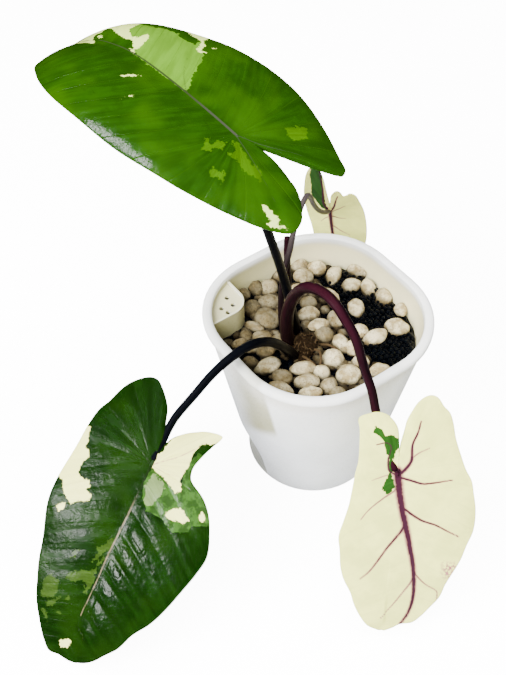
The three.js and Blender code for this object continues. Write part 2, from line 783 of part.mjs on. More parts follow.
const plant = new THREE.Group();
function addMesh(name, geometry, finish) {
  const mesh = new THREE.Mesh(geometry, finish);
  mesh.name = name;
  plant.add(mesh);
  return mesh;
}

addMesh("pot", potGeometry(), material(COLOURS.pot, 0.35));
addMesh("black_granules", granuleGeometry(), material(COLOURS.granules, 0.3));
addMesh("pumice_stones", pumiceGeometry(), material(COLOURS.pumice, 0.9));
addMesh("corm", geometryOf(rootstock(0).subtract(stalkHoles)), material(COLOURS.bark, 0.95));

for (const [name, stalk] of Object.entries(STALKS)) {
  const tube = stalkSolid(stalk).subtract(bladeSolid(BLADES[name], GAP));
  const colour = name === "top" || name === "left" ? COLOURS.darkStalk : COLOURS.maroonStalk;
  addMesh("petiole_" + name, geometryOf(tube), material(colour, 0.4));
}
addMesh("sheath_stub", geometryOf(stalkSolid(STUB)), material(COLOURS.maroonStalk, 0.6));

const bladeColours = {
  top: COLOURS.green,
  left: COLOURS.deepGreen,
  right: COLOURS.cream,
  back: COLOURS.cream,
};
for (const [name, leaf] of Object.entries(BLADES)) {
  const mesh = addMesh("blade_" + name, bladeGeometry(leaf), material(bladeColours[name], 0.3));
  const { position, quaternion } = bladePlace(leaf);
  mesh.position.copy(position);
  mesh.quaternion.copy(quaternion);
}

export default plant;
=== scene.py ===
import math

import bpy
import numpy as np
from mathutils import Matrix, Vector, noise


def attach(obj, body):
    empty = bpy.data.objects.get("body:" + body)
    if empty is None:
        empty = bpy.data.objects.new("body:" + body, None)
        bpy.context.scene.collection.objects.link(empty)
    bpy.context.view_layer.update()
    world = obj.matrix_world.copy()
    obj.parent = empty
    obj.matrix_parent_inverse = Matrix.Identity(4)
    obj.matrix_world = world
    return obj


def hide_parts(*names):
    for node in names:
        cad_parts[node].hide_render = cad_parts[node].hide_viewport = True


bl_info = {
    "name": "Potted Black Stem Alocasia",
    "version": (1, 0, 0),
    "blender": (4, 5, 0),
    "location": "View3D > Sidebar > Alocasia",
    "description": "Dresses the packed solids of a potted black stem alocasia",
    "category": "Object",
}

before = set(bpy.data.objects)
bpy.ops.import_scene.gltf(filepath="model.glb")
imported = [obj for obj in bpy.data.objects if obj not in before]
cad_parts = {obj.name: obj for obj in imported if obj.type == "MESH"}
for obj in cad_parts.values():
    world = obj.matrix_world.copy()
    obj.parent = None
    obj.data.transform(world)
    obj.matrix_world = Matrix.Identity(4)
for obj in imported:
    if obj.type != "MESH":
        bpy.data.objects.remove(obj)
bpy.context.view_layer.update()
MM = 0.001
SEED = 41

# Pot, in millimetres, in axes turned about Z
POT_TURN = math.radians(34.6)
NECK = 108.2
WALL = 2.4
FLOOR = 4.0
COLUMN_X = -22.0
COLUMN_Y = 27.4
COLUMN_RADIUS = 10.5
COLUMN_TOP = 108.0
COLUMN_WALL = 1.8
PLATE_TOP = 106.8
PLATE_UNDER = 105.6
PLATE_HOLES = [(-29.3, 39.8), (-29.7, 33.8), (-36.0, 35.2), (-34.8, 30.9)]
ARCH_AZIMUTH = math.radians(192)
ARCH_HALF = 19.5
ARCH_SPRING = 15.0
ARCH_SILL = 1.8
ARCH_BACK = 28.0
ARCH_WALL = 2.2
RIM_HALF = 55
RIM_CORNER = 43.3
FOOT_RADIUS = 37
SIDE_GROWTH = 15.8  # how much wider than the foot the neck is, from the middle to a side
CORNER_GROWTH = 4.2  # how much larger than the foot's radius the neck's corners are
CORNER_STEPS = 14
WALL_LEVELS = (12, 30, 50, 70, 90, 104, NECK - 1.2)
LIP = [  # height over the neck, and inset from the rim's outline
    (1.8, 0.0), (2.9, 0.1), (3.6, 0.5), (4.05, 1.1), (4.3, 2.1), (4.3, 3.3), (4.1, 4.1), (3.6, 4.75),
       (2.6, 5.1),
]
HOLE_RADIUS = 1.3

# The khaki panel in the wall is a painted shadow, the air column's shadow showing through. Where it ends, as
# an angle round the pot at its foot, how that edge leans with each millimetre of height, and the slope and
# level of its lower edge over the angle
SHADOW_EDGE = -1.92
SHADOW_LEAN = 0.0019
SILL_SLOPE = 38.0
SILL_LEVEL = 140.0

# Bed: pebbles as x, y, length along X, length along Y, turn in degrees
BED_LEVEL = 94.6
PEBBLE_TOP = 99.4
PEBBLES = [
    (-38, 28, 7, 8, 0), (-31, 33, 8, 10, 10), (-24, 34, 10, 13, -10), (-34, 19, 10, 11, 0),
    (-24, 23, 13, 10, 5), (-26, 11, 14, 15, 20), (-33, 5, 12, 6, -35), (-37, -1, 8, 8, 0),
    (-28, -3, 11, 8, 0), (-41, -8, 8, 5, 25), (-34, -10, 9, 6, 30), (-27, -13, 10, 7, 0),
    (-35, -19, 9, 7, -20), (-26, -22, 15, 9, 25), (-19, -30, 11, 9, -30), (-9, -25, 13, 8, 5),
    (-7, -33, 13, 9, 0), (-20, -38, 13, 7, -30), (-6, -41, 12, 8, 0), (4, -36, 10, 10, 0),
    (1, -27, 9, 10, 0), (7, -18, 12, 12, 0), (14, -29, 13, 12, 20), (8, -42, 8, 6, 20),
    (30, -27, 11, 8, 20), (12, -7, 10, 13, 15), (19, -12, 9, 10, 0), (21, -21, 9, 8, 0),
    (22, 0, 10, 9, 0), (30, -5, 14, 8, 25), (42, 2, 13, 11, -20), (46, 14, 7, 9, 0),
    (38, 25, 10, 13, -10), (22, 17, 9, 13, -5), (30, 32, 8, 12, 10), (21, 34, 11, 9, 10),
    (26, 46, 14, 11, 10), (12, 42, 9, 13, -15), (3, 47, 10, 11, 0), (-7, 50, 10, 9, 0),
    (-5, 41, 11, 10, 0), (-17, 43, 11, 9, 0), (-8, 31, 11, 10, 0), (-16, 24, 9, 10, 0),
    (-3, 21, 9, 9, 0), (-4, 13, 12, 9, 10), (1, 4, 12, 7, 25), (4, -2, 10, 9, 0),
    (11, 9, 10, 12, 0), (9, 25, 8, 11, 35), (-17, 14, 8, 7, 0), (-20, -6, 8, 7, 0),
]
PATCH = [
    (8, 38), (18, 45), (35, 44), (43, 22), (50, -3), (46, -15), (37, -23), (26, -17), (21, -4), (15, 4),
    (9, 20),
]
LUMPS = [(-12, -5, 87, 10, 11, 8), (-5.5, -8, 94.2, 6.6, 6.4, 6.2), (-9, -15.5, 92, 5.2, 4.8, 5)]
ROOTS = [
    [(-4, -11, 95), (0, -15, 98.6), (1, -20, 98.8), (0, -24, 95.5), (-1, -26, 90)],
    [(-9, -15, 95), (-6, -20, 98.2), (-2, -24, 97), (-3, -28, 90)],
    [(0, -6, 93), (6, -11, 98), (10, -14, 97.6), (14, -17, 90)],
]

# Stalks: centrelines, and radii at the foot and the blade
STALKS = {
    "top": (2.7, 2.1, [
        (-10.5, 1.5, 84), (-10.8, 1.4, 96.6), (-12.9, 0.2, 111.2), (-15.4, -1.3, 127.2), (-18, -3.1, 141.6),
        (-21.5, -6, 159), (-25, -8, 174), (-32, -12.5, 206), (-38.8, -16.9, 238)]),
    "left": (3.0, 2.0, [
        (-9, -13.5, 86), (-13, -16, 97), (-17.5, -20, 107), (-24, -24.5, 117), (-30, -29, 122.5),
        (-36, -33, 124.5), (-43, -37.5, 123), (-49, -41, 120), (-56, -45.5, 115), (-61.5, -49, 109.5),
        (-67, -52.5, 104.5), (-72.5, -56.5, 99.5), (-76.5, -61, 94.5), (-80, -67, 90), (-84.2, -74.4, 86)]),
    "back": (1.9, 1.3, [
        (-17, 2, 84), (-17.8, 3, 96), (-18.6, 5, 108), (-18.2, 7.5, 122), (-16.5, 11, 133), (-14, 15, 141),
        (-12, 20, 149.5), (-9.5, 26, 155), (-6.5, 33, 158.5), (-4, 40, 156), (-1.5, 47, 147), (1, 54, 136),
        (4.5, 62, 125.5), (8, 69, 118), (11.5, 75, 114)]),
    "right": (4.0, 2.1, [
        (-14.5, -6.6, 84.8), (-15.6, -6, 99.1), (-16.1, -6.3, 113.6), (-14.6, -8.6, 127.8),
        (-11.6, -12.7, 139.8), (-6.6, -19.7, 150.7), (-0.5, -27.5, 155), (5, -35.5, 155), (9, -41, 150.5),
        (13.5, -46.5, 144.5), (16, -50.5, 136.5), (19, -54, 126.5), (22, -58, 118.5), (24, -62, 108.5),
        (28, -70.5, 98), (31, -77.5, 91), (34, -83.6, 86)]),
}
STUB = (1.9, 1.7, [
    (-12, 6.5, 84), (-13, 8.7, 96.3), (-14.1, 12.2, 110.2), (-14.8, 16, 124.5), (-15.1, 19.4, 135.8),
    (-14.9, 22.1, 143.9)])

# Blades: u runs along the midrib from the stalk to the tip, v to the blade's left, in millimetres.
# Veins are given as half width at the start, half width at the end, strength and points.
BLADES = {
    "top": {
        "at": (-38.8, -16.9, 238), "heading": 136, "pitch": 14.3, "roll": 2, "fall": 0.132, "tip_from": 55,
        "tip_fall": 0.65, "lobe_fall": -0.11, "camber": 0.0018, "valley": 1.4, "wave": 0.5,
        "quilt": 0.2, "far_side": 1.0, "lateral_gap": 12.0, "margin_drop": 1.6, "rings": 84, "rim": 380,
        "midrib": [(0, 0), (60, -2), (118, 0)],
        "outline": [
            (-9.5, -2.6), (-12, -4), (-21, -8.3), (-32, -13.1), (-40, -16.6), (-43, -18.4), (-42, -22),
            (-36, -26), (-24, -33), (-8, -39.5), (8, -44), (20, -44.7), (32, -42.5), (47, -38.5), (64, -32),
            (81, -25), (96, -20.5), (108, -15), (115, -8), (118, 0), (115, 9), (109, 17), (101, 24), (92, 30),
            (80, 36.3), (64, 40.5), (47, 42), (30, 41.8), (14, 40.3), (-1, 37.8), (-15, 34), (-27, 31),
            (-38, 28), (-46, 24), (-50, 20), (-49, 14), (-45, 9), (-38, 3), (-30, -1), (-22, -3), (-14, -3)],
        "veins": [
            (0.8, 0.35, 1.0, [(-1, 0), (20, -0.7), (60, -2), (90, -1.5), (114, 0)]),
            (0.8, 0.3, 0.55, [(0, 0), (-12, 4), (-26, 10), (-40, 17)]),
            (0.8, 0.3, 0.55, [(0, 0), (-10, -4), (-24, -12), (-38, -20)]),
            (0.5, 0.25, 0.8, [(30, -1.5), (38, -8), (44, -16)]),
        ],
        "regions": {
            "lime": [[(79, -14), (80, -19), (79, -22), (76, -22), (72, -23), (68, -26), (62, -27), (58, -26),
                      (54, -25), (50, -26), (50, -30), (54, -32), (58, -34), (56, -35), (51, -34), (47, -30),
                      (46, -24), (42, -24), (39, -20), (37, -16), (36, -12), (34, -8), (30, -4), (30, -1),
                      (49, -1), (60, -1), (65, -5), (72, -10)]],
            "cream": [
                [(99, 4), (102, -6), (104, -19), (98, -24), (80, -23), (79, -15), (73, -10), (70, -11),
                 (68, -16),
                 (66, -14), (65, -12), (64, -8), (63, -4), (61, -2), (66, -6), (70, -8), (76, -8), (83, -10),
                 (90, -13), (94, -13), (92, -9), (94, -6), (90, -2), (86, 0), (84, 2)],
                [(60, -32), (56, -37), (53, -38), (50, -35), (50, -32), (46, -29), (45, -25), (42, -26),
                 (44, -23),
                 (47, -24), (48, -28), (50, -31), (54, -31)],
                [(66.5, -3.5), (64.5, -3.5), (61.5, -2), (63.5, -2)],
                [(52.5, 13.5), (50, 10), (47, 6.5), (48, 6.5), (51, 10), (53.5, 14)],
                [(43, 23.5), (41.5, 20), (40.6, 18.6), (41.6, 18.6), (42.6, 21)],
                [(43.5, -30.5), (42.5, -32.5), (41.5, -31.5), (42.5, -30)],
                [(91, -5.5), (88.5, -6.5), (85.5, -4.5), (87.5, -3.5)],
                [(-33, 20), (-33.5, 18.5), (-36.5, 19), (-39, 19.5), (-43, 20), (-44, 22), (-46, 20.5),
                 (-48, 20.5),
                 (-46, 22), (-43, 24.5), (-41, 24.5), (-41.5, 22.5), (-38.5, 22.5), (-35, 21)],
            ],
            "olive": [
                [(2, 17.5), (3.5, 15), (5.5, 11.5), (4, 11), (1.5, 12.5), (1, 9.5), (-1.5, 6), (-2.5, 8.5),
                 (-3.5, 11.5), (-1.5, 12.5), (-1, 15.5), (0.5, 17)],
                [(-1.5, 3), (-4, 3.5), (-8.5, 4.5), (-14.5, 6), (-19.5, 6.5), (-23, 8), (-24.5, 10),
                 (-25, 12),
                 (-23, 11), (-20.5, 12), (-16.5, 12), (-13, 10), (-9.5, 10.5), (-6.5, 11.5), (-5, 9.5),
                 (-6.5, 8),
                 (-5.5, 6), (-3, 5)],
                [(-7.5, 23), (-7.5, 20.5), (-10, 21), (-12, 20.5), (-11.5, 18.5), (-13, 18.5), (-14, 20.5),
                 (-15.5, 23), (-15, 23.5), (-12, 22.5), (-10, 23.5)],
                [(-11, -19.5), (-12.5, -24), (-16.5, -26.5), (-20.5, -22), (-18, -17.5), (-13, -16.5)],
            ],
        },
    },
    "left": {
        "at": (-84.2, -74.4, 86), "heading": 236.4, "pitch": -36.7, "roll": 0, "fall": 0.19, "tip_from": 60,
        "tip_fall": 0, "lobe_fall": 0, "camber": 0.0004, "valley": 1.6, "wave": 0.7,
        "quilt": 1.0, "far_side": 0.5, "lateral_gap": 12.0, "margin_drop": 0.8, "rings": 80, "rim": 500,
        "midrib": [(0, 0), (26, -0.5), (51, -2.5), (67, -3.5), (81, -5), (115, -14)],
        "outline": [
            (-4, -0.1), (-9, -0.4), (-15, -1.2), (-24, -4), (-29, -6), (-36, -12), (-38.5, -16), (-38, -20),
            (-32, -28), (-26, -32), (-18, -35), (-12, -38), (-2, -40), (6, -41), (27, -44), (42, -44),
            (61, -40),
            (71, -38), (81, -35), (93, -32), (104, -27), (112, -22), (116, -18), (115, -12), (114, -5),
            (111, 2),
            (106, 8), (98, 14), (90, 20), (80, 24.5), (70, 31), (58, 36.5), (48, 40), (36, 43.5), (26, 45),
            (16, 42), (8, 38), (2, 32), (-3, 22.5), (-8, 20.7), (-16, 22.5), (-22, 25), (-28, 27.5),
            (-27, 20),
            (-24, 14), (-20, 8), (-15, 3.2), (-9, 1.5)],
        "veins": [
            (0.8, 0.4, 0.9, [(-1, 0), (26, -0.5), (51, -2.5), (67, -3.5), (86, -5.5)]),
            (0.8, 0.3, 0.6, [(0, 0), (-3, -5), (-13, -9), (-28, -16)]),
            (0.7, 0.3, 0.7, [(0, 0), (-5, 6), (-10, 12), (-20, 20)]),
            (0.6, 0.25, 0.6, [(0, 0), (0, 8), (-2, 17)]),
            (0.5, 0.2, 0.5, [(-1, 0), (-8, 4), (-14, 9)]),
        ],
        "regions": {
            "cream": [
                [(-2, -42), (-2, -38), (5, -36), (8, -36), (8, -34), (11, -32), (14, -34), (20, -34),
                 (22, -32),
                 (21, -26), (24, -25), (26, -26), (27, -22), (30, -22), (33, -28), (36, -31), (34, -35),
                 (32, -38),
                 (28, -41), (28, -50), (14, -50)],
                [(41, -38), (37, -34), (39.5, -33), (43, -36)],
                [(-16, 4), (-25, 12), (-32, 20), (-30, 32), (-22, 24), (-21, 20), (-16, 18), (-10, 18),
                 (-6, 18),
                 (0, 18), (4, 21), (6, 18), (4, 14), (2, 8), (1, 1), (-4, 0), (-9, 3)],
                [(16, 18), (13, 20), (11, 24), (14, 30), (16, 29), (17, 27), (18, 23), (18, 18)],
                [(11, 34), (8, 34), (8, 36), (11, 38), (12, 36)],
                [(107, -14), (103, -9), (103, -7), (108, -8), (110, -12)],
            ],
            "sage": [[(1, 0.6), (10, 0.6), (16, 3), (20, 8), (20, 17), (22, 22), (23, 25), (19, 32), (16, 32),
                      (14, 36), (12, 40), (2, 40), (-4, 30), (-8, 22), (-16, 24), (-16, 20), (-9, 17),
                      (-5, 17),
                      (4, 21), (2, 10)]],
            "lime": [[(2, 3), (10, 2), (16, 4), (18, 6), (18, 10), (14, 10), (10, 12), (6, 12), (4, 10),
                      (4, 6)]],
            "olive": [
                [(50.5, -10), (47.5, -8.5), (44, -5.5), (40.5, -2.5), (41, -1.5), (46.5, -2), (49.5, -4.5),
                 (54, -7.5), (56.5, -9), (51.5, -7), (51, -9)],
                [(52.5, -3.5), (57.5, -4.5), (61.5, -6), (62.5, -8.5), (59.5, -7), (55, -5.5)],
                [(70.5, -20), (67, -18), (65.5, -14), (63, -12.5), (62.5, -8.5), (60.5, -4.5), (67, -5.5),
                 (71.5, -5.5), (74, -6.5), (73, -8), (69, -8.5), (69.5, -12.5), (71, -16), (71.5, -19)],
                [(80.5, -30.5), (77.5, -30.5), (75, -28.5), (74.5, -23.5), (75.5, -22), (78, -23),
                 (79.5, -21),
                 (83, -21.5), (86.5, -25), (88, -29), (87.5, -30.5), (84, -30)],
                [(90.5, -26.5), (87.5, -24), (85, -21), (81.5, -19.5), (82.5, -18), (87, -21), (91.5, -24.5)],
                [(95, -27.5), (95, -24), (100.5, -21.5), (100, -23.5), (97, -26)],
                [(82, -16.5), (80, -15), (81, -13.5), (82.5, -15)],
                [(60.5, -20.5), (54.5, -19), (54.5, -17), (58.5, -18.5)],
                [(91.5, -18.5), (89, -16), (91, -15.5)],
            ],
        },
    },
    "right": {
        "at": (34, -83.6, 86), "heading": 263.5, "pitch": -54, "roll": 0, "fall": 0.2, "tip_from": 60,
        "tip_fall": 0, "lobe_fall": 0, "camber": 0.0006, "valley": 1.2, "wave": 1.0,
        "quilt": 0.25, "far_side": 1.0, "lateral_gap": 12.0, "margin_drop": 1.0, "rings": 100, "rim": 420,
        "midrib": [(0, 0), (17, 3.5), (34, 8), (52, 12), (70, 13), (80, 11), (92, -1)],
        "outline": [
            (-10, -0.4), (-18, -0.8), (-24, -2), (-29, -6.5), (-30.5, -11), (-29.5, -15.5), (-27, -20),
            (-22, -19.3), (-16, -19), (-6, -19), (0, -20), (10, -21), (18, -22), (26, -24), (34, -26),
            (42, -25),
            (52, -24), (60, -22), (68, -18), (74, -16), (82, -12), (88, -8), (91, -4), (92, -2), (89, 4),
            (86, 8),
            (84, 14), (80, 18), (74, 22), (67, 26), (58, 28), (52, 30), (42, 34), (35, 36), (27, 38.5),
            (16, 38.5), (6, 36.5), (0, 35), (-5, 32), (-12, 29), (-20, 26), (-28, 24), (-33, 22), (-36, 19),
            (-40, 16), (-41, 13), (-40, 10), (-37, 7), (-33, 5), (-28, 3), (-22, 2), (-16, 0.8), (-10, 0.2),
            (-4, 0.1)],
        "veins": [
            (2.3, 0.65, 1.0, [(-2, 0), (8, 1.5), (17, 3.5), (34, 8), (52, 12), (70, 13), (80, 11), (86, 8)]),
            (1.1, 0.35, 0.95, [(0, 0.5), (-4, 4), (-8, 6), (-16, 6), (-22, 8), (-28, 9)]),
            (0.5, 0.25, 0.6, [(-9, 6), (-12, 9), (-15, 14)]),
            (0.9, 0.3, 0.85, [(1, 1), (2, 7), (3, 12), (2, 18), (0, 26)]),
            (0.95, 0.3, 0.85, [(16, 3.5), (18, 6), (22, 13), (24, 20), (27, 26), (30, 32)]),
            (0.6, 0.25, 0.7, [(48, 11), (52, 12.5), (58, 18), (62, 24), (68, 25)]),
            (0.5, 0.25, 0.5, [(0, 0), (0, -4), (3, -12)]),
            (0.6, 0.25, 0.65, [(5, 1), (8, -1), (12, -6), (18, -12), (24, -16)]),
            (0.9, 0.3, 0.85, [(24, 5.5), (29, 4), (32, 2), (38, -2), (53, -10), (58, -14)]),
            (0.6, 0.25, 0.7, [(52, 12), (58, 11), (64, 8), (75, 2), (81, -2)]),
            (0.7, 0.3, 0.85, [(0, 0), (-2, -4), (-8, -5), (-14, -4), (-16, -6), (-15, -11)]),
        ],
        "regions": {
            "green": [
                [(-24, -12), (-23, -9.5), (-19, -7), (-20, -4), (-18, 0), (-14, -0.5), (-10, -2), (-8, -2),
                 (-8, -5), (-12, -6.5), (-17, -8), (-21, -13)],
                [(2, -5), (2, -2), (6, -1), (10, -4), (8, -6), (6, -7)],
                [(-9, -2.6), (3, -2.8), (3, -4.4), (-9, -4.6)],
            ],
            "blemish": [[(45, 26), (52, 27), (56, 33), (50, 35), (45, 31)]],
        },
    },
    "back": {
        "at": (11.5, 75, 114), "heading": 80, "pitch": -75, "roll": 0, "fall": 0.12, "tip_from": 40,
        "tip_fall": 0, "lobe_fall": 0, "camber": 0.004, "valley": 0.6, "wave": 0.4,
        "quilt": 0.2, "far_side": 1.0, "lateral_gap": 9.0, "margin_drop": 0.3, "rings": 64, "rim": 260,
        "midrib": [(0, 0), (22, -1.5), (61, -9)],
        "outline": [
            (-5, 0), (-10, -0.3), (-16, -0.9), (-19.8, -3.5), (-18, -5.6), (-15, -7), (-16, -8.7),
            (-18.5, -10.8), (-17.5, -13.5), (-12, -16), (-4, -18.8), (6, -20.7), (18, -21.6), (30, -21.2),
            (42, -18.8), (52, -15), (61, -9), (54, -1), (44, 4), (30, 8), (15, 10.5), (2, 13), (-12, 14.4),
            (-24, 14.2), (-34, 13), (-39, 10.5), (-38, 7), (-31, 4.4), (-23, 3), (-13, 1.4)],
        "veins": [
            (1.2, 0.4, 1.0, [(-1, 0), (11, -1), (22, -2), (40, -4.5), (58, -8)]),
            (1.0, 0.4, 1.0, [(0, 0), (-6, 3.4), (-20, 4.2), (-36, 6)]),
            (0.8, 0.3, 0.9, [(0, 0), (-4, -2), (-10, -3), (-15, -4)]),
            (0.5, 0.2, 0.8, [(3, 0), (6, -5), (6, -9)]),
            (0.5, 0.2, 0.7, [(13, -1.5), (18, -6), (22, -12)]),
            (0.5, 0.2, 0.5, [(4, 0), (8, 3), (11, 5)]),
            (0.5, 0.2, 0.6, [(0, -1), (-3, -5), (-7, -9)]),
            (0.45, 0.2, 0.6, [(28, -3), (34, -8), (38, -14)]),
            (0.45, 0.2, 0.5, [(24, -2), (30, 2), (34, 5)]),
        ],
        "regions": {
            "green": [[(-42, 11), (-41, 4.6), (-20, 4.4), (0, 1.5), (-3, 5), (-14, 10), (-26, 11)]],
        },
    },
}
REGIONS = ("lime", "sage", "olive", "cream", "green", "blemish")
FAR_OUTSIDE = -50.0  # distance stored where a blade has no such region
WING_APART = 37.0  # keeps the streaks of a blade's two halves from mirroring each other

# Camera: place in millimetres, and angles and lens as fitted to the view
CAMERA_AT = (-33.5, -348.0, 490.5)
CAMERA_PITCH = math.radians(48.8)
CAMERA_ROLL = math.radians(-1.4)
SENSOR_WIDTH = 36.0
LENS = SENSOR_WIDTH * 1000.0 / 675.0
FLOOR_SIZE = 12


def deselect():
    if bpy.context.object and bpy.context.object.mode != "OBJECT":
        bpy.ops.object.mode_set(mode="OBJECT")
    bpy.ops.object.select_all(action="DESELECT")


def select_only(obj):
    deselect()
    obj.select_set(True)
    bpy.context.view_layer.objects.active = obj


def use_modifier(obj, kind, **settings):
    select_only(obj)
    bpy.ops.object.modifier_add(type=kind)
    modifier = obj.modifiers[-1]
    for name, value in settings.items():
        setattr(modifier, name, value)
    bpy.ops.object.modifier_apply(modifier=modifier.name)


def join(pieces, name):
    deselect()
    for piece in pieces:
        piece.select_set(True)
    bpy.context.view_layer.objects.active = pieces[0]
    if len(pieces) > 1:
        bpy.ops.object.join()
    pieces[0].name = name
    pieces[0].data.name = name
    return pieces[0]


def store(obj, name, values):
    """One float for each vertex, as a named attribute."""
    layer = obj.data.attributes.get(name) or obj.data.attributes.new(name, "FLOAT", "POINT")
    layer.data.foreach_set("value", np.asarray(values, np.float32).ravel())


def read(obj, name):
    values = np.zeros(len(obj.data.vertices), np.float32)
    obj.data.attributes[name].data.foreach_get("value", values)
    return values


def vertex_rows(obj, what="co"):
    """Each vertex's place or normal, in the mesh's own units."""
    values = np.zeros(len(obj.data.vertices) * 3, np.float32)
    obj.data.vertices.foreach_get(what, values)
    return values.reshape(-1, 3)


def move_vertices(obj, places):
    obj.data.vertices.foreach_set("co", places.astype(np.float32).ravel())


def skin(name, rings, marks=None):
    """A grid wrapped round through rings of points in millimetres, its seam and poles closed."""
    rings = np.asarray(rings, float)
    wrapped = np.concatenate([rings, rings[:, :1]], axis=1)
    levels, around = wrapped.shape[:2]
    deselect()
    bpy.ops.mesh.primitive_grid_add(x_subdivisions=around - 1, y_subdivisions=levels - 1, size=1)
    grid = bpy.context.object
    grid.name = name
    grid.data.name = name
    grid.data.vertices.foreach_set("co", (wrapped * MM).ravel())
    for mark, values in (marks or {}).items():
        store(grid, mark, np.concatenate([values, values[:, :1]], axis=1))
    bpy.ops.object.mode_set(mode="EDIT")
    bpy.ops.mesh.select_all(action="SELECT")
    bpy.ops.mesh.remove_doubles(threshold=1e-6)
    bpy.ops.mesh.normals_make_consistent(inside=False)
    bpy.ops.object.mode_set(mode="OBJECT")
    bpy.ops.object.shade_smooth()
    return grid


def closed(rings):
    """Rings with a pole at each end."""
    rings = np.asarray(rings, float)
    first = np.broadcast_to(rings[0].mean(axis=0), rings[0].shape)
    last = np.broadcast_to(rings[-1].mean(axis=0), rings[-1].shape)
    return np.concatenate([first[None], rings, last[None]])


def curve_through(points, count, loop=False):
    """Evenly spaced points on a centripetal curve through the given ones."""
    points = np.asarray(points, float)
    if loop:
        padded = np.vstack([points[-1], points, points[:2]])
    else:
        padded = np.vstack([2 * points[0] - points[1], points, 2 * points[-1] - points[-2]])
    dense = []
    for a, b, c, d in zip(padded, padded[1:], padded[2:], padded[3:]):
        knots = np.cumsum([0] + [max(np.linalg.norm(q - p) ** 0.5, 1e-4) for p,
                                 q in ((a, b), (b, c), (c, d))])
        t = np.linspace(knots[1], knots[2], 17)[:-1, None]

        def between(p, q, low, high):
            return (p * (high - t) + q * (t - low)) / (high - low)

        ab, bc, cd = between(a, b, *knots[0:2]), between(b, c, *knots[1:3]), between(c, d, *knots[2:4])
        abc = between(ab, bc, knots[0], knots[2])
        bcd = between(bc, cd, knots[1], knots[3])
        dense.append(between(abc, bcd, knots[1], knots[2]))
    dense.append(padded[-2][None])
    dense = np.vstack(dense)
    length = np.concatenate([[0], np.cumsum(np.linalg.norm(np.diff(dense, axis=0), axis=1))])
    wanted = np.linspace(0, length[-1], count, endpoint=not loop)
    return np.stack([np.interp(wanted, length, dense[:, k]) for k in range(dense.shape[1])], axis=1)


def tube(name, path, radii, sides=16, groove=0.0, dome=True):
    """A closed tube along a path, with attributes for the length along it and the angle round it."""
    path = np.asarray(path, float)
    radii = np.broadcast_to(radii, len(path)).astype(float)
    along = np.gradient(path, axis=0)
    along /= np.linalg.norm(along, axis=1)[:, None]
    side = np.cross(along[0], (0.31, 0.2, 0.93) if abs(along[0][2]) < 0.8 else (1, 0, 0))
    angles = np.linspace(0, 2 * np.pi, sides, endpoint=False)
    travelled = np.concatenate([[0], np.cumsum(np.linalg.norm(np.diff(path, axis=0), axis=1))])
    rings, lengths = [], []
    for k, centre in enumerate(path):
        side = side - along[k] * (side @ along[k])
        side /= np.linalg.norm(side)
        other = np.cross(along[k], side)
        dent = 1 - groove * math.exp(-travelled[k] / 22) * np.exp(-(((angles - 4.4) / 0.4) ** 2))
        rings.append(centre + radii[k] * dent[:,
                                              None] * (np.cos(angles)[:,
                                                                      None] * side + np.sin(angles)[:, None]
                                                       * other))
        lengths.append(travelled[k])
    if dome:
        for share in (0.6, 0.95):
            height = math.sqrt(1 - share * share)
            rings.append(path[-1] + along[-1] * radii[-1] * 0.6 * share + (rings[len(path) - 1] - path[-1])
                         * height)
            lengths.append(travelled[-1])
    lengths = [lengths[0]] + lengths + [lengths[-1]]
    marks = {
        "along": np.repeat(np.array(lengths)[:, None], sides, axis=1),
        "around": np.repeat(angles[None], len(lengths), axis=0),
    }
    return skin(name, closed(rings), marks)


# Materials


def feed(tree, socket, value):
    """Link what another node gives, or set a plain value."""
    if isinstance(value, bpy.types.NodeSocket):
        tree.links.new(value, socket)
    else:
        socket.default_value = value


def add(tree, kind, values=None, **settings):
    """A new node with its settings, and with its inputs by name or number."""
    made = tree.nodes.new(kind)
    for name, value in settings.items():
        setattr(made, name, value)
    for name, value in (values or {}).items():
        feed(tree, made.inputs[name], value)
    return made


def maths(tree, operation, *values):
    return add(tree, "ShaderNodeMath", dict(enumerate(values)), operation=operation).outputs[0]


def times(tree, product, *factors):
    for factor in factors:
        product = maths(tree, "MULTIPLY", product, factor)
    return product


def vector_maths(tree, operation, *values):
    made = add(tree, "ShaderNodeVectorMath", dict(enumerate(values)), operation=operation)
    return made.outputs["Value" if operation == "DOT_PRODUCT" else "Vector"]


def blend(tree, factor, a, b):
    """From colour a at 0 to colour b at 1."""
    a, b = ((*colour, 1) if isinstance(colour, tuple) else colour for colour in (a, b))
    return add(tree, "ShaderNodeMix", {0: factor, 6: a, 7: b}, data_type="RGBA").outputs[2]


def ramp(tree, value, low, high, start=0.0, end=1.0):
    """A smooth step from start to end as the value goes from low to high."""
    limits = {"Value": value, "From Min": low, "From Max": high, "To Min": start, "To Max": end}
    return add(tree, "ShaderNodeMapRange", limits, interpolation_type="SMOOTHSTEP").outputs["Result"]


def cloud(tree, where, scale, detail=3.0, rough=0.55):
    values = {"Vector": where, "Scale": scale, "Detail": detail, "Roughness": rough}
    return add(tree, "ShaderNodeTexNoise", values).outputs["Fac"]


def cells(tree, where, scale):
    """Distance to the nearest of scattered points."""
    return add(tree, "ShaderNodeTexVoronoi", {"Vector": where, "Scale": scale}).outputs["Distance"]


def named(tree, name):
    return add(tree, "ShaderNodeAttribute", attribute_name=name).outputs["Fac"]


def vector_of(tree, x, y, z=0.0):
    return add(tree, "ShaderNodeCombineXYZ", {0: x, 1: y, 2: z}).outputs[0]


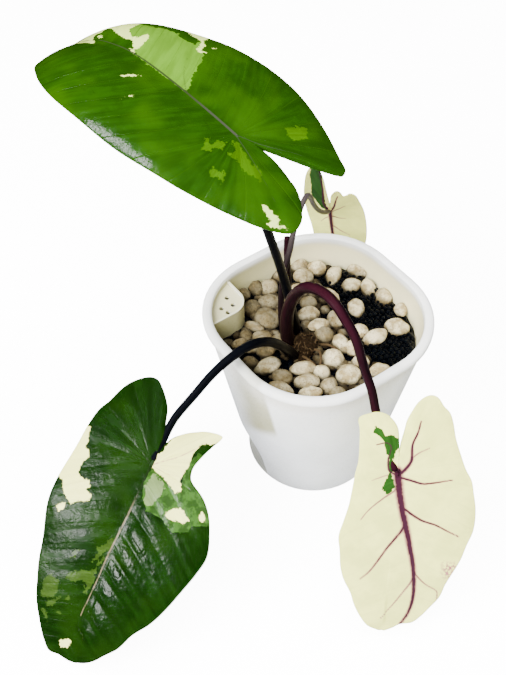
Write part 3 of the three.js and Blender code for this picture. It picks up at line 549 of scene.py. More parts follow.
def node_group(name, inputs, outputs, build):
    tree = bpy.data.node_groups.get(name)
    if tree:
        return tree
    tree = bpy.data.node_groups.new(name, "ShaderNodeTree")
    for label, kind, value in inputs:
        socket = tree.interface.new_socket(name=label, in_out="INPUT", socket_type="NodeSocket" + kind)
        if value is not None:
            socket.default_value = value
    for label, kind in outputs:
        tree.interface.new_socket(name=label, in_out="OUTPUT", socket_type="NodeSocket" + kind)
    source = tree.nodes.new("NodeGroupInput")
    result = tree.nodes.new("NodeGroupOutput")
    build(tree, source.outputs, result.inputs)
    return tree


def ragged_edge():
    """A region's mask from the distance inside its border, with a torn, noisy edge."""
    def build(tree, given, made):
        coarse = maths(tree, "SUBTRACT", cloud(tree, given["Where"], 0.16, 2.0), 0.5)
        fine = maths(tree, "SUBTRACT", cloud(tree, given["Where"], given["Scale"], 5.0, 0.62), 0.5)
        tear = maths(tree, "ADD", times(tree, fine, given["Reach"]), times(tree, coarse, given["Reach"], 0.7))
        moved = maths(tree, "ADD", given["Distance"], tear)
        tree.links.new(ramp(tree, moved, -0.16, 0.16), made["Mask"])

    inputs = [
        ("Distance", "Float", 0.0), ("Where", "Vector", None), ("Scale", "Float", 0.5),
        ("Reach", "Float", 3.0),
    ]
    return node_group("Ragged Edge", inputs, [("Mask", "Float")], build)


def mottle():
    """Two tones in soft clouds."""
    def build(tree, given, made):
        share = ramp(tree, cloud(tree, given["Where"], given["Scale"], 4.0, 0.6), 0.36, 0.64)
        tree.links.new(blend(tree, share, given["First"], given["Second"]), made["Color"])

    inputs = [
        ("Where", "Vector", None), ("Scale", "Float", 1.0), ("First", "Color", (0.5, 0.5, 0.5, 1)),
        ("Second", "Color", (0.6, 0.6, 0.6, 1)),
    ]
    return node_group("Mottle", inputs, [("Color", "Color")], build)


def grouped(tree, group, **values):
    return add(tree, "ShaderNodeGroup", values, node_tree=group).outputs


def mottled(tree, where, scale, first, second):
    """The colour of two tones in soft clouds."""
    return grouped(tree, mottle(), Where=where, Scale=scale, First=(*first, 1), Second=(*second, 1))["Color"]


def material(name, **sockets):
    """A new material, its tree and its shader, with plain values set on the shader's own sockets."""
    made = bpy.data.materials.new(name)
    made.use_nodes = True
    tree = made.node_tree
    shader = tree.nodes["Principled BSDF"]
    for socket, value in sockets.items():
        shader.inputs[socket.replace("_", " ")].default_value = value
    return made, tree, shader


def place(tree):
    """Object coordinates in millimetres."""
    where = add(tree, "ShaderNodeTexCoord").outputs["Object"]
    return add(tree, "ShaderNodeVectorMath", {0: where, "Scale": 1 / MM}, operation="SCALE").outputs[0]


def finish_surface(tree, shader, colour=None, rough=None, height=None, depth=0.0002, strength=1.0):
    if colour is not None:
        tree.links.new(colour, shader.inputs["Base Color"])
    if rough is not None:
        tree.links.new(rough, shader.inputs["Roughness"])
    if height is not None:
        bump = add(tree, "ShaderNodeBump", {"Strength": strength, "Distance": depth})
        tree.links.new(height, bump.inputs["Height"])
        tree.links.new(bump.outputs["Normal"], shader.inputs["Normal"])


def pot_plastic():
    """Milky plastic: warm at the rim, cooler down the wall, with the column's shadow showing through."""
    given = bpy.context.scene.alocasia_pot
    made, tree, shader = material("Milky Plastic", Roughness=0.3, Specular_IOR_Level=0.4)
    where = place(tree)
    x, y, z = add(tree, "ShaderNodeSeparateXYZ", {0: where}).outputs
    wall = blend(tree, ramp(tree, z, 40.0, 112.0), tuple(given.lower_colour), tuple(given.rim_colour))
    turn = maths(tree, "ARCTAN2", y, x)
    edge = maths(tree, "ADD", turn, times(tree, z, SHADOW_LEAN))
    sill = maths(tree, "SUBTRACT", z, maths(tree, "MULTIPLY_ADD", turn, SILL_SLOPE, SILL_LEVEL))
    # Painted shadow: inside this panel the wall is darkened to the column shadow colour.
    panel = times(tree, ramp(tree, edge, SHADOW_EDGE - 0.035, SHADOW_EDGE + 0.03, 1.0, 0.0),
                  ramp(tree, sill, -2.0, 9.0), ramp(tree, turn, -2.9, -2.3),
                  ramp(tree, z, 80.0, 108.0, 1.0, 0.5))
    wall = blend(tree, panel, wall, tuple(given.shadow_colour))
    # Painted shade: a warm, darker band under the lip, where the rim shades the wall and light comes through
    # it.
    under_lip_shade = times(tree, ramp(tree, z, 94.0, 105.0), ramp(tree, z, 110.0, 107.5), 0.5)
    wall = blend(tree, under_lip_shade, wall, (0.66, 0.61, 0.50))
    haze = ramp(tree, cloud(tree, where, 0.035, 2.0), 0.35, 0.7, 0.0, 0.3)
    wall = blend(tree, haze, wall, (0.56, 0.58, 0.60))

    outward = vector_maths(tree, "NORMALIZE", vector_maths(tree, "MULTIPLY", where, (1.0, 1.0, 0.0)))
    normal = add(tree, "ShaderNodeNewGeometry").outputs["Normal"]
    within = ramp(tree, vector_maths(tree, "DOT_PRODUCT", outward, normal), 0.6, -0.2)
    # Painted shade on the inner wall over the bed: warm, and darker towards the left where the top leaf
    # shades it.
    lining_shade = blend(tree, ramp(tree, x, 15.0, -48.0), tuple(given.inside_shade_colour), (0.50, 0.47, 0.235))
    wall = blend(tree, times(tree, within, ramp(tree, z, 111.0, 106.5)), wall, lining_shade)

    # Painted shade in the foot opening: its inner walls are darkened.
    across = (-math.sin(ARCH_AZIMUTH), math.cos(ARCH_AZIMUTH), 0.0)
    sideways = maths(tree, "ABSOLUTE", vector_maths(tree, "DOT_PRODUCT", where, across))
    above = maths(tree, "MAXIMUM", maths(tree, "SUBTRACT", z, ARCH_SPRING), 0.0)
    away = maths(tree, "SQRT",
                 maths(tree, "ADD", *(maths(tree, "POWER", run, 2.0) for run in (sideways, above))))
    niche = times(tree, ramp(tree, away, ARCH_HALF + 0.6, ARCH_HALF + 0.1), maths(tree, "LESS_THAN", x, 0.0),
                  maths(tree, "GREATER_THAN", z, ARCH_SILL - 0.4))
    wall = blend(tree, niche, wall, (0.46, 0.46, 0.43))
    rough = ramp(tree, cloud(tree, where, 1.4, 3.0), 0.3, 0.7, 0.26, 0.36)
    finish_surface(tree, shader, wall, rough, cloud(tree, where, 0.12, 2.0), 0.0006, 0.35)
    return made


def pumice_stone():
    made, tree, shader = material("Pumice", Roughness=0.9, Specular_IOR_Level=0.25)
    where = place(tree)
    tint = named(tree, "tint")
    pale = mottled(tree, where, 0.22, (0.70, 0.61, 0.37), (0.33, 0.25, 0.115))
    # The dark tone is partly the stones' own khaki and partly painted shade, for the shaded stones on the
    # left and in the gaps.
    khaki_and_shade = mottled(tree, where, 0.25, (0.088, 0.068, 0.031), (0.036, 0.026, 0.011))
    colour = blend(tree, ramp(tree, tint, 0.1, 0.95, 0.0, 0.92), pale, khaki_and_shade)
    stain = ramp(tree, cloud(tree, where, 0.42, 3.0, 0.6), 0.56, 0.72, 0.0, 0.7)
    colour = blend(tree, stain, colour, (0.22, 0.15, 0.062))
    # Pores: dark dots that are painted shade in the pores, also pressed in as dips in the bump.
    shaded_pits = times(tree, ramp(tree, cells(tree, where, 0.85), 0.05, 0.24),
                 ramp(tree, cells(tree, where, 1.9), 0.02, 0.20))
    speck = ramp(tree, cloud(tree, where, 0.9, 2.0), 0.67, 0.73)
    colour = blend(tree, shaded_pits, (0.06, 0.04, 0.016), colour)
    colour = blend(tree, times(tree, speck, 0.6), colour, (0.035, 0.022, 0.010))
    # Painted shade: the further a point lies below the pebble tops, the darker it is, as in the shade between
    # the stones.
    low = ramp(tree, named(tree, "low"), 0.0, 1.0)
    colour = blend(tree, times(tree, low, 0.93), colour, (0.012, 0.008, 0.004))
    skin_grain = maths(tree, "ADD", times(tree, shaded_pits, 0.7), cloud(tree, where, 0.9, 4.0, 0.6))
    finish_surface(tree, shader, colour, None, skin_grain, 0.0009, 1.0)
    return made


def black_granule():
    made, tree, shader = material("Glazed Black Granule", Roughness=0.24, Specular_IOR_Level=0.12)
    where = place(tree)
    soot = mottled(tree, where, 0.5, (0.0004, 0.0007, 0.0012), (0.0010, 0.0015, 0.0026))
    dust = ramp(tree, cloud(tree, where, 1.8, 3.0), 0.66, 0.80, 0.0, 0.25)
    colour = blend(tree, dust, soot, (0.030, 0.024, 0.016))
    rough = ramp(tree, cloud(tree, where, 0.9, 2.0), 0.3, 0.7, 0.16, 0.42)
    finish_surface(tree, shader, colour, rough, cloud(tree, where, 3.0, 2.0), 0.0002, 0.5)
    return made


def husk():
    made, tree, shader = material("Fibrous Husk", Roughness=0.8, Specular_IOR_Level=0.15)
    where = place(tree)
    grain = {"Vector": where, "Scale": (1.6, 1.6, 0.25), "Rotation": (0.5, 0.3, 0.0)}
    fibres = cloud(tree, add(tree, "ShaderNodeMapping", grain).outputs[0], 1.2, 5.0, 0.7)
    tint = named(tree, "tint")
    dark = blend(tree, ramp(tree, fibres, 0.35, 0.68), (0.0035, 0.0022, 0.0012), (0.022, 0.0125, 0.0055))
    colour = blend(tree, tint, dark, (0.085, 0.055, 0.026))
    finish_surface(tree, shader, colour, None, fibres, 0.0006, 1.0)
    return made


def stalk_skin(name, dark, warm, foot, sheen, pale=None):
    """Smooth stalk skin with fine lengthwise streaks, a warm painted sheen on the side facing the lights,
    brown at the foot.
    """
    made, tree, shader = material(name, Roughness=0.36, IOR=1.25, Specular_IOR_Level=0.25)
    along = named(tree, "along")
    around = named(tree, "around")
    streak_at = vector_of(tree, times(tree, maths(tree, "SINE", around), 3.0),
                          times(tree, maths(tree, "COSINE", around), 3.0), times(tree, along, 0.05))
    streaks = cloud(tree, streak_at, 1.3, 4.0, 0.6)
    normal = add(tree, "ShaderNodeNewGeometry").outputs["Normal"]
    # Painted sheen: the side facing the lights, up and to the front left, is blended towards the warm colour.
    upper = ramp(tree, vector_maths(tree, "DOT_PRODUCT", normal, (-0.45, -0.35, 0.82)), 0.35, 1.0)
    middle = tuple(0.55 * c + 0.45 * w for c, w in zip(dark, warm))
    colour = blend(tree, ramp(tree, streaks, 0.3, 0.7), dark, middle)
    colour = blend(tree, times(tree, upper, sheen), colour, warm)
    low = times(tree, ramp(tree, along, 10.0, 42.0, 1.0, 0.0), ramp(tree, streaks, 0.35, 0.62, 0.35, 1.0))
    colour = blend(tree, low, colour, foot)
    # The paler upper stretch is partly the stalk's own mauve-grey and partly a painted broad highlight on the
    # arch.
    if pale:
        colour = blend(tree, times(tree, ramp(tree, along, 48.0, 78.0), 0.85), colour, pale)
    rough = ramp(tree, streaks, 0.3, 0.7, 0.3, 0.46)
    finish_surface(tree, shader, colour, rough, streaks, 0.0003, 0.5)
    return made


def leaf_grain(tree, spread, stretch, rough):
    """A blade's flat plan, its distance from the midrib, and streaks that follow its side veins."""
    flat = vector_of(tree, named(tree, "along"), named(tree, "across"))
    side = named(tree, "side")
    reach = maths(tree, "ABSOLUTE", side)
    wing = times(tree, maths(tree, "SIGN", side), WING_APART)
    flow = vector_of(tree, times(tree, named(tree, "lateral"), spread), times(tree, reach, stretch), wing)
    return flat, side, reach, flow, cloud(tree, flow, 1.0, 4.0, rough)


def toned(colour, factor, lift=0.0):
    """The same colour, scaled and lifted."""
    return tuple(factor * part + lift for part in colour)


def green_blade(name, tones, vein_glow, crinkle, gloss, dull_side):
    """Glossy green blade with streaks along the side veins and torn sectors of paler colour."""
    made, tree, shader = material(name, Roughness=0.2, Specular_IOR_Level=0.3)
    flat, side, reach, _, streaks = leaf_grain(tree, 0.30, 0.05, 0.55)
    broad = cloud(tree, flat, 0.035, 2.0)
    patchy = cloud(tree, flat, 0.11, 4.0, 0.6)
    colour = blend(tree, ramp(tree, streaks, 0.30, 0.70), tones["dark"], tones["green"])
    colour = blend(tree, ramp(tree, patchy, 0.46, 0.62, 0.0, 0.5), colour, tones["dark"])
    colour = blend(tree, ramp(tree, broad, 0.44, 0.66, 0.0, 0.5), colour, tones["light"])
    edge = ragged_edge()

    def torn_mask(region, scale, torn):
        return grouped(tree, edge, Distance=named(tree, region), Where=flat, Scale=scale, Reach=torn)["Mask"]

    def sector(mask, base, tone, factor, patches=0.0):
        share = ramp(tree, streaks, 0.36, 0.64)
        if patches:
            share = ramp(tree, cloud(tree, flat, patches, 4.0, 0.62), 0.42, 0.56)
        return blend(tree, mask, base, blend(tree, share, tones[tone], toned(tones[tone], factor)))

    colour = sector(torn_mask("olive", 0.6, 6.5), colour, "olive", 1.5)
    colour = sector(torn_mask("sage", 0.4, 3.0), colour, "sage", 2.1, 0.22)
    colour = sector(torn_mask("lime", 0.5, 4.5), colour, "lime", 1.3)
    pale = torn_mask("cream", 0.8, 3.4)
    colour = sector(pale, colour, "cream", 0.9)
    within_gap = maths(tree, "FRACT", maths(tree, "DIVIDE", named(tree, "lateral"), named(tree, "gap")))
    crease = maths(tree, "ABSOLUTE", maths(tree, "SUBTRACT", within_gap, 0.5))
    line = times(tree, ramp(tree, crease, 0.475, 0.5), ramp(tree, reach, 1.0, 5.0))
    colour = blend(tree, times(tree, line, vein_glow), colour, tones["light"])
    rib = blend(tree, ramp(tree, named(tree, "along"), 14.0, 30.0), tones["rib"], tones["rib_far"])
    rib = blend(tree, pale, rib, tones["blush"])
    worn = ramp(tree, cloud(tree, flat, 0.35, 3.0), 0.36, 0.52, 1.0 - tones["wear"], 1.0)
    colour = blend(tree, times(tree, ramp(tree, named(tree, "vein"), 0.35, 0.75), worn), colour, rib)
    under = named(tree, "under")
    colour = blend(tree, times(tree, under, 0.45), colour, toned(tones["green"], 1.5, 0.012))
    bumps = maths(tree, "ADD", times(tree, cells(tree, flat, 0.8), 0.2), times(tree, streaks, 0.4))
    bumps = maths(tree, "ADD", bumps, times(tree, cloud(tree, flat, 0.26, 3.0, 0.55), crinkle))
    bumps = maths(tree, "SUBTRACT", bumps, times(tree, line, 0.6))
    rough = ramp(tree, streaks, 0.3, 0.7, gloss, gloss + 0.07)
    dull = ramp(tree, side, 2.0, -10.0, 0.0, dull_side)
    rough = maths(tree, "ADD", rough, maths(tree, "ADD", dull, times(tree, under, 0.2)))
    finish_surface(tree, shader, colour, rough, bumps, 0.0003, 0.5)
    return made


def cream_blade(name, cream, shade, mauve, halo, green):
    """Satin cream blade with mauve veins that fade through pink, and a torn green fleck."""
    made, tree, shader = material(name, Roughness=0.42, Specular_IOR_Level=0.16)
    flat, _, _, flow, streaks = leaf_grain(tree, 0.5, 0.04, 0.6)
    base = mottled(tree, flat, 0.06, cream, shade)
    colour = blend(tree, ramp(tree, streaks, 0.5, 0.75, 0.0, 0.5), base, toned(shade, 0.9))
    mask = grouped(tree, ragged_edge(), Distance=named(tree, "green"), Where=flat, Scale=0.5,
                   Reach=3.0)["Mask"]
    leafy = blend(tree, ramp(tree, streaks, 0.4, 0.6), green, toned(green, 1.7))
    colour = blend(tree, mask, colour, leafy)
    blemish = ramp(tree, named(tree, "blemish"), -3.0, 1.5)
    colour = blend(tree, times(tree, blemish, ramp(tree, cloud(tree, flat, 0.7, 3.0), 0.4, 0.6)), colour,
                   halo)
    vein = times(tree, named(tree, "vein"), ramp(tree, cloud(tree, flat, 0.5, 3.0), 0.25, 0.6, 0.75, 1.0))
    glow = times(tree, ramp(tree, vein, 0.05, 0.42, 0.0, 0.8), maths(tree, "SUBTRACT", 1.0, mask))
    colour = blend(tree, glow, colour, halo)
    colour = blend(tree, ramp(tree, vein, 0.32, 0.72), colour, mauve)
    bumps = maths(tree, "SUBTRACT", times(tree, cloud(tree, flow, 2.2, 4.0), 0.7), times(tree, vein, 0.5))
    rough = ramp(tree, streaks, 0.3, 0.7, 0.34, 0.46)
    finish_surface(tree, shader, colour, rough, bumps, 0.0003, 0.5)
    return made


# Forms


def turned(points):
    c, s = math.cos(POT_TURN), math.sin(POT_TURN)
    return [(x * c - y * s, x * s + y * c, z) for x, y, z in points]


def square_ring(half, corner, z, inset=0.0):
    """Points round a square with rounded corners."""
    half, corner = half - inset, corner - inset
    corner = min(corner, half - 0.3)
    flat = half - corner
    ring = []
    for quarter, (sx, sy) in enumerate(((1, 1), (-1, 1), (-1, -1), (1, -1))):
        for step in range(CORNER_STEPS + 1):
            angle = (quarter + step / CORNER_STEPS) * math.pi / 2
            ring.append((sx * flat + corner * math.cos(angle), sy * flat + corner * math.sin(angle), z))
    return turned(ring)


def body_ring(z, inset=0.0):
    share = z / NECK
    return square_ring(FOOT_RADIUS + SIDE_GROWTH * share, FOOT_RADIUS + CORNER_GROWTH * share, z, inset)


def rim_ring(z, inset=0.0):
    return square_ring(RIM_HALF, RIM_CORNER, z, inset)


def plan(ring):
    return [(x, y) for x, y, _ in ring]


POT_INNER = plan(body_ring(BED_LEVEL, WALL))
COLUMN_AREA = plan(turned([(-62, 62, 0), (-62, COLUMN_Y, 0), (COLUMN_X, COLUMN_Y, 0), (COLUMN_X, 62, 0)]))


def column_form(margin, bottom, top):
    x, y, r = COLUMN_X + margin, COLUMN_Y - margin, COLUMN_RADIUS + margin
    arc = [(x - r + r * math.sin(a), y + r - r * math.cos(a)) for a in np.linspace(0, math.pi / 2, 19)]
    outline = [(-62, 62), (-62, y)] + arc + [(x, 62)]
    return skin("column", closed([turned([(px, py, z) for px, py in outline]) for z in (bottom, top)]))


def arch_form(margin):
    half = ARCH_HALF + margin
    bend = [(half * math.cos(a), ARCH_SPRING + half * math.sin(a)) for a in np.linspace(0, math.pi, 25)]
    outline = [(-half, ARCH_SILL - margin), (half, ARCH_SILL - margin)] + bend
    out = np.array([math.cos(ARCH_AZIMUTH), math.sin(ARCH_AZIMUTH), 0])
    across = np.array([-out[1], out[0], 0])
    rings = []
    for depth in (ARCH_BACK - margin, ARCH_BACK + 30):
        rings.append([across * a + out * depth + np.array([0, 0, h]) for a, h in outline])
    return skin("arch", closed(rings))


def carve(target, tool, operation):
    use_modifier(target, "BOOLEAN", operation=operation, object=tool, solver="EXACT")
    bpy.data.objects.remove(tool)
    return target


def smooth_edges(obj, degrees):
    select_only(obj)
    bpy.ops.object.shade_smooth_by_angle(angle=math.radians(degrees), keep_sharp_edges=False)


def dress(piece, finish, slot_name, *nodes):
    piece.data.materials.clear()
    piece.data.materials.append(finish)
    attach(piece, "root")
    if nodes:
        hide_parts(*nodes)


def blade_flow(u, v):
    """Place along the midrib where the side vein through u, v begins. Behind the stalk the veins fan out."""
    side = np.abs(v)
    ahead = u - 0.35 * side - 0.006 * side**2
    start = np.arctan2(side, 0.35 * side + 0.006 * side**2 + 1e-6)
    behind = -(np.arctan2(side, u) - start) * 30
    return np.where(ahead >= 0, ahead, behind)


def inside_distance(u, v, outline):
    """Signed distance to a closed outline in millimetres, positive inside."""
    corners = np.asarray(outline, float)
    nearest = np.full(u.shape, 1e9)
    inside = np.zeros(u.shape, bool)
    for (ax, ay), (bx, by) in zip(corners, np.roll(corners, -1, axis=0)):
        run = max((bx - ax) ** 2 + (by - ay) ** 2, 1e-9)
        t = np.clip(((u - ax) * (bx - ax) + (v - ay) * (by - ay)) / run, 0, 1)
        nearest = np.minimum(nearest, np.hypot(u - ax - t * (bx - ax), v - ay - t * (by - ay)))
        crosses = (ay > v) != (by > v)
        inside ^= crosses & (u < (bx - ax) * (v - ay) / (by - ay + 1e-12) + ax)
    return np.where(inside, nearest, -nearest)


def vein_strength(u, v, veins):
    strength = np.zeros(u.shape)
    for start, end, level, points in veins:
        line = curve_through(points, max(6, 4 * len(points)))
        widths = np.linspace(start, end, len(line))
        for (ax, ay), (bx, by), wa, wb in zip(line, line[1:], widths, widths[1:]):
            run = (bx - ax) ** 2 + (by - ay) ** 2 + 1e-9
            t = np.clip(((u - ax) * (bx - ax) + (v - ay) * (by - ay)) / run, 0, 1)
            away = np.hypot(u - ax - t * (bx - ax), v - ay - t * (by - ay))
            strength = np.maximum(strength, level * np.exp(-((away / (wa + t * (wb - wa))) ** 2)))
    return strength


def midrib_line(leaf, u):
    """Place of the midrib's fold in the blade's own side view: forward, up and slope."""
    def arc(slope, bend, s):
        end = slope - bend * s
        if abs(bend) < 1e-9:
            return s * np.cos(slope), s * np.sin(slope), end
        return (np.sin(slope) - np.sin(end)) / bend, (np.cos(end) - np.cos(slope)) / bend, end

    fall, tip, lobe = (math.radians(leaf[k]) for k in ("fall", "tip_fall", "lobe_fall"))
    front = arc(0.0, fall, np.minimum(u, leaf["tip_from"]))
    past = np.maximum(u - leaf["tip_from"], 0)
    far = arc(front[2], fall + tip, past)
    back = arc(0.0, lobe, u)
    x = np.where(u < 0, back[0], front[0] + far[0])
    z = np.where(u < 0, back[1], front[1] + far[1])
    return x, z, np.where(u < 0, back[2], far[2])


def blade_relief(leaf, u, v, share):
    line = np.asarray(leaf["midrib"], float)
    side = v - np.interp(u, line[:, 0], line[:, 1])
    groove = leaf["valley"] * (1 - np.exp(-((side / 9) ** 2)))
    wave = leaf["wave"] * share**3 * np.sin(u / 7 + np.where(v > 0, 1, 2.5))
    flow = blade_flow(u, side)
    pillow = np.abs(np.sin(np.pi * flow / leaf["lateral_gap"])) ** 0.7
    reach = np.clip(np.abs(side) / 7, 0, 1) * np.clip(np.hypot(u, v) / 14, 0, 1) * (1 - share**6)
    reach = reach * (0.3 + 0.7 * np.exp(-((side / 20) ** 2))) * np.where(side > 0, 1, leaf["far_side"])
    drop = leaf["margin_drop"] * share**9
    return groove - leaf["camber"] * v**2 + wave - drop + leaf["quilt"] * (pillow - 0.5) * reach


def blade_place(leaf, u, v, height):
    x, z, slope = midrib_line(leaf, u)
    own = np.stack([x - np.sin(slope) * height, v, z + np.cos(slope) * height], axis=-1)
    heading, pitch, roll = (math.radians(leaf[k]) for k in ("heading", "pitch", "roll"))
    turn = Matrix.Rotation(heading, 3, "Z") @ Matrix.Rotation(-pitch, 3, "Y") @ Matrix.Rotation(roll, 3, "X")
    return own @ np.array(turn).T + np.array(leaf["at"])


def blade_form(name, leaf, thickness):
    """A blade with its veins and regions stored on its vertices, thickened, and with a rib under it."""
    rim = curve_through(leaf["outline"], leaf["rim"], loop=True)
    shares = np.linspace(0, 1, leaf["rings"] + 1)[:, None]
    u, v = shares * rim[:, 0], shares * rim[:, 1]
    share = np.broadcast_to(shares, u.shape)
    points = blade_place(leaf, u, v, blade_relief(leaf, u, v, share))
    blade = skin(name, points, {"along": u, "across": v, "share": share})
    count = len(blade.data.vertices)
    stalk_end = np.zeros(1)
    upward = blade_place(leaf, stalk_end, stalk_end, 1)[0] - blade_place(leaf, stalk_end, stalk_end, 0)[0]
    if (vertex_rows(blade, "normal") @ upward).mean() < 0:
        blade.data.flip_normals()
    u, v = read(blade, "along").astype(float), read(blade, "across").astype(float)
    line = np.asarray(leaf["midrib"], float)
    side = v - np.interp(u, line[:, 0], line[:, 1])
    store(blade, "side", side)
    store(blade, "lateral", blade_flow(u, side) + 400)
    store(blade, "gap", np.full(count, leaf["lateral_gap"]))
    store(blade, "vein", vein_strength(u, v, leaf["veins"]))
    for region in REGIONS:
        distances = [inside_distance(u, v, outline) for outline in leaf["regions"].get(region, [])]
        store(blade, region, np.max(distances, axis=0) if distances else np.full(count, FAR_OUTSIDE))
    use_modifier(blade, "SOLIDIFY", thickness=thickness, offset=0.0, use_even_offset=False)
    under = np.zeros(len(blade.data.vertices))
    under[count:] = 1
    facing = vertex_rows(blade, "normal") @ upward
    if facing[:count].mean() < facing[count:].mean():
        under = 1 - under
    store(blade, "under", under)
    thicken_rib(blade, leaf, under)
    return blade


def thicken_rib(blade, leaf, under):
    """The midrib stands out under the blade, strongest near the stalk."""
    u, side, share = read(blade, "along"), read(blade, "side"), read(blade, "share")
    fade = np.clip(1 - u / leaf["midrib"][-1][0], 0.12, 1) * (u > -3)
    depth = 0.9 * np.exp(-((side / 1.8) ** 2)) * fade * under
    depth += 0.18 * read(blade, "vein") * under
    outwards = vertex_rows(blade, "normal") * (depth * (1 - share**8) * MM)[:, None]
    move_vertices(blade, vertex_rows(blade) + outwards)
    blade.data.update()


def rock(name, subdivisions, seed, rough):
    """A rounded stone of unit radius with a pitted, uneven skin."""
    deselect()
    bpy.ops.mesh.primitive_ico_sphere_add(subdivisions=subdivisions, radius=1.0)
    stone = bpy.context.object
    stone.name = name
    offset = Vector((seed * 7.3, seed * 3.1, seed * 5.7))
    for vertex in stone.data.vertices:
        p = vertex.co.copy()
        swell = noise.noise(p * 0.9 + offset) * 0.22 + noise.noise(p * 2.1 + offset) * 0.08
        grain = noise.noise(p * 4.5 + offset) * 0.016
        pit = min(0.0, noise.noise(p * 5.5 - offset) + 0.34) * 0.07
        vertex.co = p * (1 + rough * (swell + grain + pit))
    bpy.ops.object.shade_smooth()
    return stone


def keep_in_pot(obj, clearance):
    """Press what would reach into the wall back to it, level by level."""
    points = vertex_rows(obj) / MM
    levels = np.round(points[:, 2])
    radius = np.hypot(points[:, 0], points[:, 1])
    for level in np.unique(levels):
        near = (levels == level) & (radius > 34)
        if not near.any():
            continue
        wall = plan(body_ring(level - 0.5, WALL))
        short = np.maximum(clearance - inside_distance(points[near, 0], points[near, 1], wall), 0)
        points[near, :2] *= (1 - 1.15 * short / radius[near])[:, None]
    move_vertices(obj, points * MM)
    obj.data.update()


def inset_at(x, y, outline):
    """How far one point lies inside an outline."""
    return inside_distance(np.array([x]), np.array([y]), outline)[0]


def off_the_bed(x, y, room):
    """Whether x, y is nearer than that to the wall or the column."""
    return inset_at(x, y, POT_INNER) < room or inset_at(x, y, COLUMN_AREA) > -room


def under_pebble(x, y):
    """Whether a pebble hides the bed at x, y."""
    return any(math.hypot((x - cx) / (lx / 2), (y - cy) / (ly / 2)) < 0.8 for cx, cy, lx, ly, _ in PEBBLES)


def upright_turn(angle):
    return Matrix.Rotation(angle, 3, "Z").to_quaternion()


def copy_at(form, where, size, turn, tint):
    """A copy of a form with its own mesh, sized, turned and placed in millimetres."""
    made = form.copy()
    made.data = form.data.copy()
    bpy.context.scene.collection.objects.link(made)
    points = vertex_rows(made) * np.asarray(size) @ np.array(turn.to_matrix()).T
    points += np.asarray(where)
    move_vertices(made, points * MM)
    store(made, "tint", np.full(len(points), tint))
    # low: painted shade, growing as the point lies further below the pebble tops.
    store(made, "low", np.clip((PEBBLE_TOP - 0.8 - points[:, 2]) / 3.6, 0, 1))
    return made


# Settings


class AlocasiaPotSettings(bpy.types.PropertyGroup):
    """Colours of the pot."""
    rim_colour: bpy.props.FloatVectorProperty(
        name="Rim Colour", description="Colour of the lip and the upper wall", subtype="COLOR",
        default=(0.96, 0.96, 0.92), min=0, max=1)
    lower_colour: bpy.props.FloatVectorProperty(
        name="Lower Colour", description="Colour of the wall near the foot", subtype="COLOR",
        default=(0.86, 0.88, 0.93), min=0, max=1)
    # Painted shade: this inner wall colour stands for the wall's shade and the warm light thrown up from the
    # pumice.
    inside_shade_colour: bpy.props.FloatVectorProperty(
        name="Inside Colour", description="Colour of the wall over the bed", subtype="COLOR",
        default=(0.95, 0.88, 0.54), min=0, max=1)
    # Painted shadow: the colour of the column's shadow showing through the wall.
    shadow_colour: bpy.props.FloatVectorProperty(
        name="Column Shadow", description="Colour where the air column shows through the wall",
        subtype="COLOR",
        default=(0.40, 0.385, 0.24), min=0, max=1)


class AlocasiaBedSettings(bpy.types.PropertyGroup):
    """Sizes in the bed."""
    granule_radius: bpy.props.FloatProperty(
        name="Granule Radius", description="Radius of a black granule", default=0.00135, min=0.0005,
        unit="LENGTH")
    granule_pitch: bpy.props.FloatProperty(
        name="Granule Spacing", description="Distance between granules", default=0.0028, min=0.001,
        unit="LENGTH")
    crumbs: bpy.props.IntProperty(
        name="Crumbs", description="Small pieces of pumice between the stones", default=210, min=0)


class AlocasiaPlantSettings(bpy.types.PropertyGroup):
    """Sizes and colours of the stalks and blades."""
    blade_thickness: bpy.props.FloatProperty(
        name="Blade Thickness", description="Thickness of a leaf blade", default=0.0008, min=0.0002,
        unit="LENGTH")
    top_green: bpy.props.FloatVectorProperty(
        name="Top Green", description="Main green of the top blade", subtype="COLOR",
        default=(0.0082, 0.039, 0.0004), min=0, max=1)
    left_green: bpy.props.FloatVectorProperty(
        name="Left Green", description="Main green of the left blade", subtype="COLOR",
        default=(0.0029, 0.0175, 0.0006), min=0, max=1)
    cream: bpy.props.FloatVectorProperty(
        name="Cream", description="Colour of the cream blades", subtype="COLOR",
        default=(0.78, 0.79, 0.215), min=0, max=1)


class AlocasiaStageSettings(bpy.types.PropertyGroup):
    """Light on the stage."""
    front_power: bpy.props.FloatProperty(
        name="Soft Front Light", description="Power of the broad front light in watts", default=80.0, min=0)
    window_power: bpy.props.FloatProperty(
        name="High Window", description="Power of the narrow light behind in watts", default=4.0, min=0)
    top_power: bpy.props.FloatProperty(
        name="Soft Top Light", description="Power of the broad light overhead in watts", default=30.0, min=0)
    side_power: bpy.props.FloatProperty(
        name="Side Lamp", description="Power of the small lamp at the left in watts", default=5.0, min=0)
    sky: bpy.props.FloatProperty(
        name="Sky", description="Strength of the even light all round", default=0.5, min=0)
    floor_glow: bpy.props.FloatProperty(
        name="Floor Glow", description="How far the floor shows brighter than its light makes it",
        default=12.0, min=0)


# Pieces


